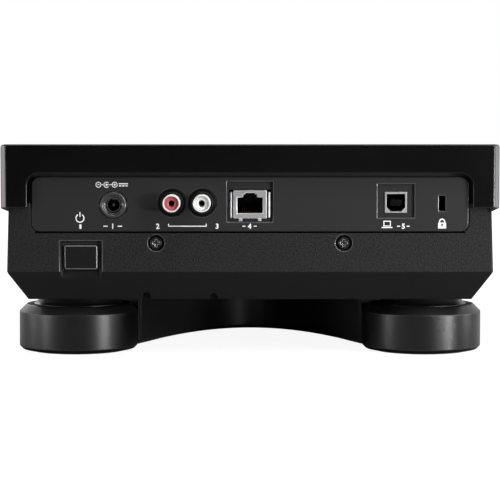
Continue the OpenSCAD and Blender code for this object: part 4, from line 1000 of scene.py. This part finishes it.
# polarity: minus on the sleeve and plus on the pin, joined to a sign for the plug
for x, plus in ((minus_x, False), (plus_x, True)):
    arc(marks, x, sign_y, 1.15, 0.32)
    bar(marks, x, sign_y, 1.1, 0.3)
    for side in ((1, -1) if plus else ()):
        bar(marks, x, sign_y + side * 0.35, 0.3, 0.4)
arc(marks, tip_x, sign_y, 1.2, 0.34, 40, 320)
disc(marks, tip_x, sign_y, 0.5)
bar(marks, -68.1, sign_y, 0.9, 0.3)
bar(marks, -64.45, sign_y, 1.7, 0.3)

# direct current: a full line over a dashed one
bar(marks, direct_x, 80.9, 4.2, 0.45)
for x in (-1.5, 0, 1.5):
    bar(marks, direct_x + x, 79.9, 1.1, 0.45)
print("signs over the power button and the power inlet drawn")

# %% Numbers, computer and padlock
label_y, label_height, line = 61.3, 2.4, 0.4
computer_x, padlock_x = 63.3, 88.7

# single numbers between two dashes, then the pair with its joining line
for text, x, reach, dash in (("1", -63.4, 3.3, 2.0), ("4", -0.2, 2.6, 1.4), ("5", 70.8, 2.2, 1.4)):
    numeral(marks, text, x, label_y, label_height)
    for side in (-1, 1):
        bar(marks, x + side * reach, label_y, dash, line)
for text, x in (("2", -42.6), ("3", -15.2)):
    numeral(marks, text, x, label_y, label_height)
bar(marks, -28.9, label_y, 17.8, line)
for x in (-37.6, -20.2):
    bar(marks, x, label_y + 0.65, line, 0.9)

# portable computer: a screen over a base
frame_of(marks, computer_x, 62.5, 3.4, 2.6, line)
bar(marks, computer_x, 60.7, 5.0, 0.5)

# padlock: a shackle over a body, with a keyhole in the panel's colour
arc(marks, padlock_x, 63.4, 1.15, 0.55, 0, 180)
for side in (-1, 1):
    bar(marks, padlock_x + side * 1.15, 63.2, 0.55, 0.6)
bar(marks, padlock_x, 61.6, 3.7, 2.7)
print_on("jack_panel_marks", marks, back_matrix(0, 0), ink, "chassis")

keyhole = bmesh.new()
disc(keyhole, padlock_x, 62.0, 0.5)
bar(keyhole, padlock_x, 61.2, 0.36, 0.9)
print_on("padlock_keyhole", keyhole, back_matrix(0, 0), panel_abs, "chassis", proud=0.05)
print("numbers are", label_height, "mm tall, at z =", label_y)

# %% [markdown]
# ## The control panel
# The keys carry plain signs for what they do. A sign is printed on the key itself and
# moves with it, so it is placed on the top of its own node: `top_of` measures the node
# along the panel's directions. Triangles and square brackets are added to the shapes.

# %% Places and shapes for key signs
def top_of(name, height=0.0):
    """Where +Z leaves the middle of a node's top on the sloping panel, at a height in mm above it."""
    spots = [v.co - jog_centre for v in nodes[name].data.vertices]
    across, along, up = [p.x for p in spots], [p.dot(down) for p in spots], [p.dot(out) for p in spots]
    return panel_matrix((max(across) + min(across)) / 2, (max(along) + min(along)) / 2,
                        max(up) + height * MM)


def triangle(bm, x, y, w, h, way=1):
    """A triangle that points right, or left for way -1."""
    polygon(bm, [(x - way * w / 2, y - h / 2), (x + way * w / 2, y), (x - way * w / 2, y + h / 2)])


def bracket(bm, way):
    """A square bracket, open to the right, or to the left for way -1."""
    w, h, line = 1.6, 2.8, 0.45
    bar(bm, -way * (w - line) / 2, 0, line, h)
    for side in (-1, 1):
        bar(bm, way * line / 2, side * (h - line) / 2, w - line, line)


print("play key's top at", [round(v, 4) for v in top_of("play_button").translation])

# %% [markdown]
# ## Signs for playing
# Play and cue are large round keys, with a ring along their rim. Track keys skip to the
# next bar, and search keys run fast, so one has a bar at the arrows' tip and one hasn't.

# %% Signs of the play, cue, track and search keys
def key_ring(bm):
    """The ring along the rim of a large round key."""
    arc(bm, 0, 0, 7.9, 0.5, steps=64)


def play_sign(bm):
    """A triangle and two bars: play and pause."""
    triangle(bm, -2.4, 0, 3.6, 4.2)
    for x in (1.2, 3.2):
        bar(bm, x, 0, 1.1, 4.2)
    key_ring(bm)


def cue_sign(bm):
    """A bar and a triangle that points back to it."""
    bar(bm, -1.9, 0, 1.0, 4.0)
    triangle(bm, 0.7, 0, 3.4, 4.0, -1)
    key_ring(bm)


def track_sign(bm, way):
    """Two arrows to a bar, towards the right for way 1."""
    bar(bm, way * 2.3, 0, 0.6, 2.6)
    for x in (0.9, -1.3):
        triangle(bm, way * x, 0, 2.2, 2.6, way)


def search_sign(bm, way):
    """Two arrows, towards the right for way 1."""
    for x in (1.1, -1.1):
        triangle(bm, way * x, 0, 2.2, 2.6, way)


print("signs for playing ready")

# %% [markdown]
# ## Signs for loops and lists
# The small keys leave little room, so their signs have few lines, and none is thinner
# than 0.4 mm. A loop's start and end are brackets, and its exit is an open circle with
# an arrow. Back is an arrow, and the menu is a list of three lines.

# %% Signs of the loop and list keys
def exit_sign(bm):
    """An open circle with an arrow at its end."""
    arc(bm, 0, 0, 1.4, 0.45, 40, 340)
    triangle(bm, 1.45, 0.75, 1.2, 1.3, -1)


def back_sign(bm):
    """An arrow to the left."""
    triangle(bm, -1.3, 0, 1.9, 2.6, -1)
    bar(bm, 0.9, 0, 2.6, 0.55)


def menu_sign(bm):
    """Three lines."""
    for y in (-1.05, 0, 1.05):
        bar(bm, 0, y, 3.6, 0.45)


print("signs for loops and lists ready")

# %% [markdown]
# ## Signs for tempo and eject
# Two linked rings stand for players that keep the same beat. A closed padlock holds the
# music's pitch while its tempo changes, and plus over minus sets how much a full stroke
# of the fader changes it. Eject is the usual triangle over a line.

# %% Signs of the tempo and eject keys
def sync_sign(bm):
    """Two linked rings."""
    for x in (-0.8, 0.8):
        arc(bm, x, 0, 1.25, 0.42)


def tempo_lock_sign(bm):
    """A small closed padlock."""
    arc(bm, 0, 0.35, 0.85, 0.4, 0, 180)
    bar(bm, 0, -0.45, 2.5, 1.6)


def tempo_range_sign(bm):
    """Plus over minus."""
    bar(bm, 0, 0.5, 2.0, 0.42)
    for y in (0.92, 0.08):
        bar(bm, 0, y, 0.42, 0.42)
    bar(bm, 0, -1.05, 2.0, 0.42)


def eject_sign(bm):
    """A triangle that points up from a line."""
    polygon(bm, [(-2.0, -0.3), (2.0, -0.3), (0, 1.5)])
    bar(bm, 0, -1.2, 4.0, 0.6)


print("signs for tempo and eject ready")

# %% [markdown]
# ## Print the signs
# A table gives each key its sign and its ink. A name's `_button` becomes `_sign`, and the
# sign takes the key's body, so that it goes down with the key when it is pressed.

# %% Print the key signs
signs = {
    "play_button": (play_sign, play_ink),
    "cue_button": (cue_sign, cue_ink),
    "track_back_button": (lambda bm: track_sign(bm, -1), ink),
    "track_forward_button": (lambda bm: track_sign(bm, 1), ink),
    "search_back_button": (lambda bm: search_sign(bm, -1), ink),
    "search_forward_button": (lambda bm: search_sign(bm, 1), ink),
    "loop_in_button": (lambda bm: bracket(bm, 1), ink),
    "loop_out_button": (lambda bm: bracket(bm, -1), ink),
    "loop_exit_button": (exit_sign, ink),
    "back_button": (back_sign, ink),
    "menu_button": (menu_sign, ink),
    "sync_button": (sync_sign, ink),
    "master_tempo_button": (tempo_lock_sign, ink),
    "tempo_range_button": (tempo_range_sign, ink),
    "eject_button": (eject_sign, ink),
}
for name, (draw, finish) in signs.items():
    bm = bmesh.new()
    draw(bm)
    print_on(name.replace("_button", "_sign"), bm, top_of(name), finish, nodes[name]["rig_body"])
print("signs on", len(signs), "keys")

# %% [markdown]
# ## Tempo scale
# The fader moves 28 mm to each side, and its scale has a mark every 7 mm on both sides of
# the slot, with longer ones at the ends and at zero. The scale is printed on the case, so
# it stays where it is while the knob moves along it.

# %% Tempo scale
tempo_step, tempo_travel, label_x = 7, 28, 14.6
bm = bmesh.new()
for i in range(-4, 5):
    long = i % 4 == 0
    reach = 3.0 if long else 2.0
    for side in (-1, 1):
        bar(bm, side * (8.6 + reach / 2), tempo_step * i, reach, 0.55 if long else 0.4)
numeral(bm, "0", label_x, 0, 3.0)
for side in (1, -1):
    bar(bm, label_x, side * tempo_travel, 2.6, 0.55)
for y in (0.8, -0.8):
    bar(bm, label_x, y - tempo_travel, 0.55, 1.05)
fader_mid = middle("tempo_fader")
panel_height = max((v.co - jog_centre).dot(out) for v in nodes["upper_case"].data.vertices)
print_on("tempo_scale", bm, panel_matrix(fader_mid.x, (fader_mid - jog_centre).dot(down), panel_height), ink,
         "chassis", proud=0.02)
print("panel surface", round(panel_height / MM, 2), "mm above the jog joint")

# %% [markdown]
# ## Marks that turn, and the screen
# The jog plate has a pointer and two rings, and the browse knob a short line, so one can
# see them turn. Under the display's clear cover lies the darker film of the screen.

# %% Jog marks, knob line and screen
bm = bmesh.new()
bar(bm, 0, 0, 104, 51)
print_on("display_area", bm, top_of("display_glass"), display_film, "chassis",
         film=0.015, proud=0.005)

bm = bmesh.new()
bar(bm, 0, 40, 1.4, 10)
for radius, width in ((47.6, 0.35), (31.6, 0.3)):
    arc(bm, 0, 0, radius, width, steps=96)
print_on("jog_plate_marks", bm, top_of("jog_plate"), ink, nodes["jog_plate"]["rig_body"])

bm = bmesh.new()
bar(bm, 0, 4.6, 0.8, 3.4)
print_on("browse_knob_line", bm, top_of("browse_knob", -0.6), ink, nodes["browse_knob"]["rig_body"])
print("marks on the jog plate, the browse knob and the display")

# %% [markdown]
# ## Slot and flat socket
# A lip of wool felt wipes the disc in the slot and keeps dust out, with a thin strip of
# it above. They are long and narrow, so their long edges are cut into stretches, which
# keeps their faces from becoming slivers. The flat socket on the panel is a tinned shield
# like the others, with a black tongue inside.

# %% Felt lips and flat socket
bm = bmesh.new()
for low, high in ((49.42, 50.4), (54.52, 54.56)):
    box_at(bm, (-61.5, -149.6, low), (61.5, -148.4, high))
bmesh.ops.subdivide_edges(bm, edges=[e for e in bm.edges if e.calc_length() > 0.1], cuts=12)
piece("slot_felt", bm, felt, "chassis")

panel_to_socket = top_of("usb_a_socket").inverted()


def tongue(c):
    """True on the tongue and the inner walls of the flat socket."""
    q = panel_to_socket @ (c * MM) / MM
    return abs(q.x) < 5.75 and abs(q.y) < 2.25 and q.z < -0.2


softened("usb_a_socket", 0.12, tin, connector_pbt, tongue)
print("slot felt and flat socket made")

# %% [markdown]
# ## Floor
# The player stands on white paper. The camera sees paper that glows a little, so that it
# stays white and only a soft shadow shows under the feet; the glow grows away from the
# player until the paper is as white as the backdrop. Reflections see paper in plain
# light, and lamps are bounced by a greyer one, which keeps the black case black.

# %% Floor paper
def card(name, width, length, matrix, finish):
    """A flat card of the studio, which isn't part of the player."""
    bm = bmesh.new()
    bmesh.ops.create_grid(bm, x_segments=1, y_segments=1, size=0.5)
    bmesh.ops.scale(bm, vec=(width, length, 1), verts=bm.verts)
    bm.transform(matrix)
    mesh = bpy.data.meshes.new(name)
    bm.to_mesh(mesh)
    bm.free()
    mesh.materials.append(finish)
    made = bpy.data.objects.new(name, mesh)
    bpy.context.scene.collection.objects.link(made)


paper_glow, glow_start, glow_end = 0.92, 0.4, 1.2
floor_paper, tree, shader = begin("white_floor_paper", "#9a9a9a", 0.9, specular=0.0)
path = add(tree, "ShaderNodeLightPath").outputs
output = next(n for n in tree.nodes if n.type == "OUTPUT_MATERIAL")
lit = add(tree, "ShaderNodeBsdfDiffuse", Color=colour("#d2d2d2"))
mirrored = add(tree, "ShaderNodeMath", {0: path["Is Glossy Ray"], 1: path["Is Transmission Ray"]},
               operation="MAXIMUM")
plain = add(tree, "ShaderNodeMixShader", {0: mirrored.outputs["Value"], 1: shader.outputs["BSDF"],
                                          2: lit.outputs["BSDF"]})
shaded = add(tree, "ShaderNodeBsdfDiffuse", Color=colour("#8c8c8c"))
place = add(tree, "ShaderNodeTexCoord").outputs["Object"]
away = add(tree, "ShaderNodeVectorMath", {0: place}, operation="LENGTH")
level = add(tree, "ShaderNodeMapRange", {"Value": away.outputs["Value"]},
            From_Min=glow_start, From_Max=glow_end, To_Min=paper_glow, To_Max=1.02)
white = add(tree, "ShaderNodeEmission", {"Strength": level.outputs["Result"]}, Color=colour("#ffffff"))
bright = add(tree, "ShaderNodeAddShader", {0: shaded.outputs["BSDF"], 1: white.outputs["Emission"]})
shown = add(tree, "ShaderNodeMixShader", {0: path["Is Camera Ray"], 1: plain.outputs["Shader"],
                                          2: bright.outputs["Shader"]})
tree.links.new(shown.outputs["Shader"], output.inputs["Surface"])
card("studio_floor", 8, 8, Matrix.Identity(4), floor_paper)
print("paper glows from", paper_glow, "within", glow_start, "m to white past", glow_end, "m")

# %% [markdown]
# ## Flags
# A black product is drawn by what it reflects, and a bare white studio would turn its
# flat back grey. So two black cards stand in for a studio's flags: one upright
# behind the camera and one flat on the table before the back. The back mirrors them and
# stays dark. A camera that looks at a flag sees plain white instead.

# %% Black flags
flag_cloth, tree, shader = begin("black_flag_cloth", "#060606", 1.0, specular=0.0)
path = add(tree, "ShaderNodeLightPath").outputs
output = next(n for n in tree.nodes if n.type == "OUTPUT_MATERIAL")
white = add(tree, "ShaderNodeEmission", Color=colour("#ffffff"), Strength=1.0)
shown = add(tree, "ShaderNodeMixShader", {0: path["Is Camera Ray"], 1: shader.outputs["BSDF"],
                                          2: white.outputs["Emission"]})
tree.links.new(shown.outputs["Shader"], output.inputs["Surface"])
upright = Matrix.Rotation(pi / 2, 4, "X")
card("flag_behind_camera", 1.8, 1.3, Matrix.Translation((0, 1.5, 0.66)) @ upright, flag_cloth)
card("flag_on_table", 1.8, 0.98, Matrix.Translation((0, 1.0, 0.002)), flag_cloth)
print("two flags placed")

# %% [markdown]
# ## Backdrop
# The world is pure white to the camera and to reflections, and gives only a dim, even
# light of its own, so that the lamps keep their say.

# %% World
world = bpy.data.worlds.new("studio")
bpy.context.scene.world = world
world.use_nodes = True
tree = world.node_tree
tree.nodes.clear()
path = add(tree, "ShaderNodeLightPath").outputs
mirrored = add(tree, "ShaderNodeMath", {0: path["Is Glossy Ray"], 1: path["Is Transmission Ray"]},
               operation="MAXIMUM")
seen = add(tree, "ShaderNodeMath", {0: path["Is Camera Ray"], 1: mirrored.outputs["Value"]},
           operation="MAXIMUM")
soft = add(tree, "ShaderNodeBackground", Color=colour("#ffffff"), Strength=0.15)
bright = add(tree, "ShaderNodeBackground", Color=colour("#ffffff"), Strength=1.0)
both = add(tree, "ShaderNodeMixShader", {0: seen.outputs["Value"], 1: soft.outputs["Background"],
                                         2: bright.outputs["Background"]})
add(tree, "ShaderNodeOutputWorld", {"Surface": both.outputs["Shader"]})
print("the world's own light is", soft.inputs["Strength"].default_value)

# %% [markdown]
# ## Lamps
# All lamps are rectangular soft boxes. Left and right are the camera's, which looks at
# the back. A tall one close by on the right brightens the back towards that side, and
# far ones on both sides put upright highlights on the feet. Low ones light the feet and
# the base under the case's shadow. Two level with the back catch the case's cut corners,
# and those above and in front show the feet's tops and the control panel.

# %% Lamps
def soft_light(name, size, place, aim, power):
    """A rectangular soft light at a place, facing a point: sizes in metres, power in watts."""
    data = bpy.data.lights.new(name, "AREA")
    data.shape = "RECTANGLE"
    data.size, data.size_y = size
    data.energy = power
    made = bpy.data.objects.new(name, data)
    bpy.context.scene.collection.objects.link(made)
    made.location = place
    made.rotation_euler = (Vector(aim) - Vector(place)).to_track_quat("-Z", "Y").to_euler()
    made.visible_camera = False


back_foot = (0, 0.1, 0.03)
back_high = (0, 0.13, 0.42)
soft_light("near_right", (0.06, 0.36), (-0.24, 0.3, 0.34), (-0.05, 0.13, 0.14), 1.0)
soft_light("low_right", (0.13, 0.06), (-0.3, 0.46, 0.04), back_foot, 0.3)
soft_light("low_far_right", (0.18, 0.08), (-0.75, 0.68, 0.05), back_foot, 4.4)
soft_light("low_left", (0.08, 0.06), (0.42, 0.3, 0.04), back_foot, 0.34)
soft_light("far_right", (0.16, 0.8), (-1.0, 0.92, 0.42), back_high, 5.5)
soft_light("far_left", (0.16, 0.8), (0.85, 0.6, 0.42), back_high, 0.8)
soft_light("side_right", (0.1, 0.12), (-0.42, 0.11, 0.062), (-0.1, 0.13, 0.062), 0.34)
soft_light("side_left", (0.1, 0.12), (0.42, 0.11, 0.062), (0.1, 0.13, 0.062), 0.27)
soft_light("top_back", (0.3, 0.12), (0.01, 0.38, 0.9), (0, 0.13, 0.02), 1.6)
soft_light("over_top", (1.0, 0.8), (0, -0.25, 1.2), (0, -0.05, 0.09), 5)
soft_light("front_fill", (0.8, 0.6), (0.4, -1.2, 0.7), (0, -0.1, 0.06), 6)
bpy.context.scene.view_settings.view_transform = "Standard"
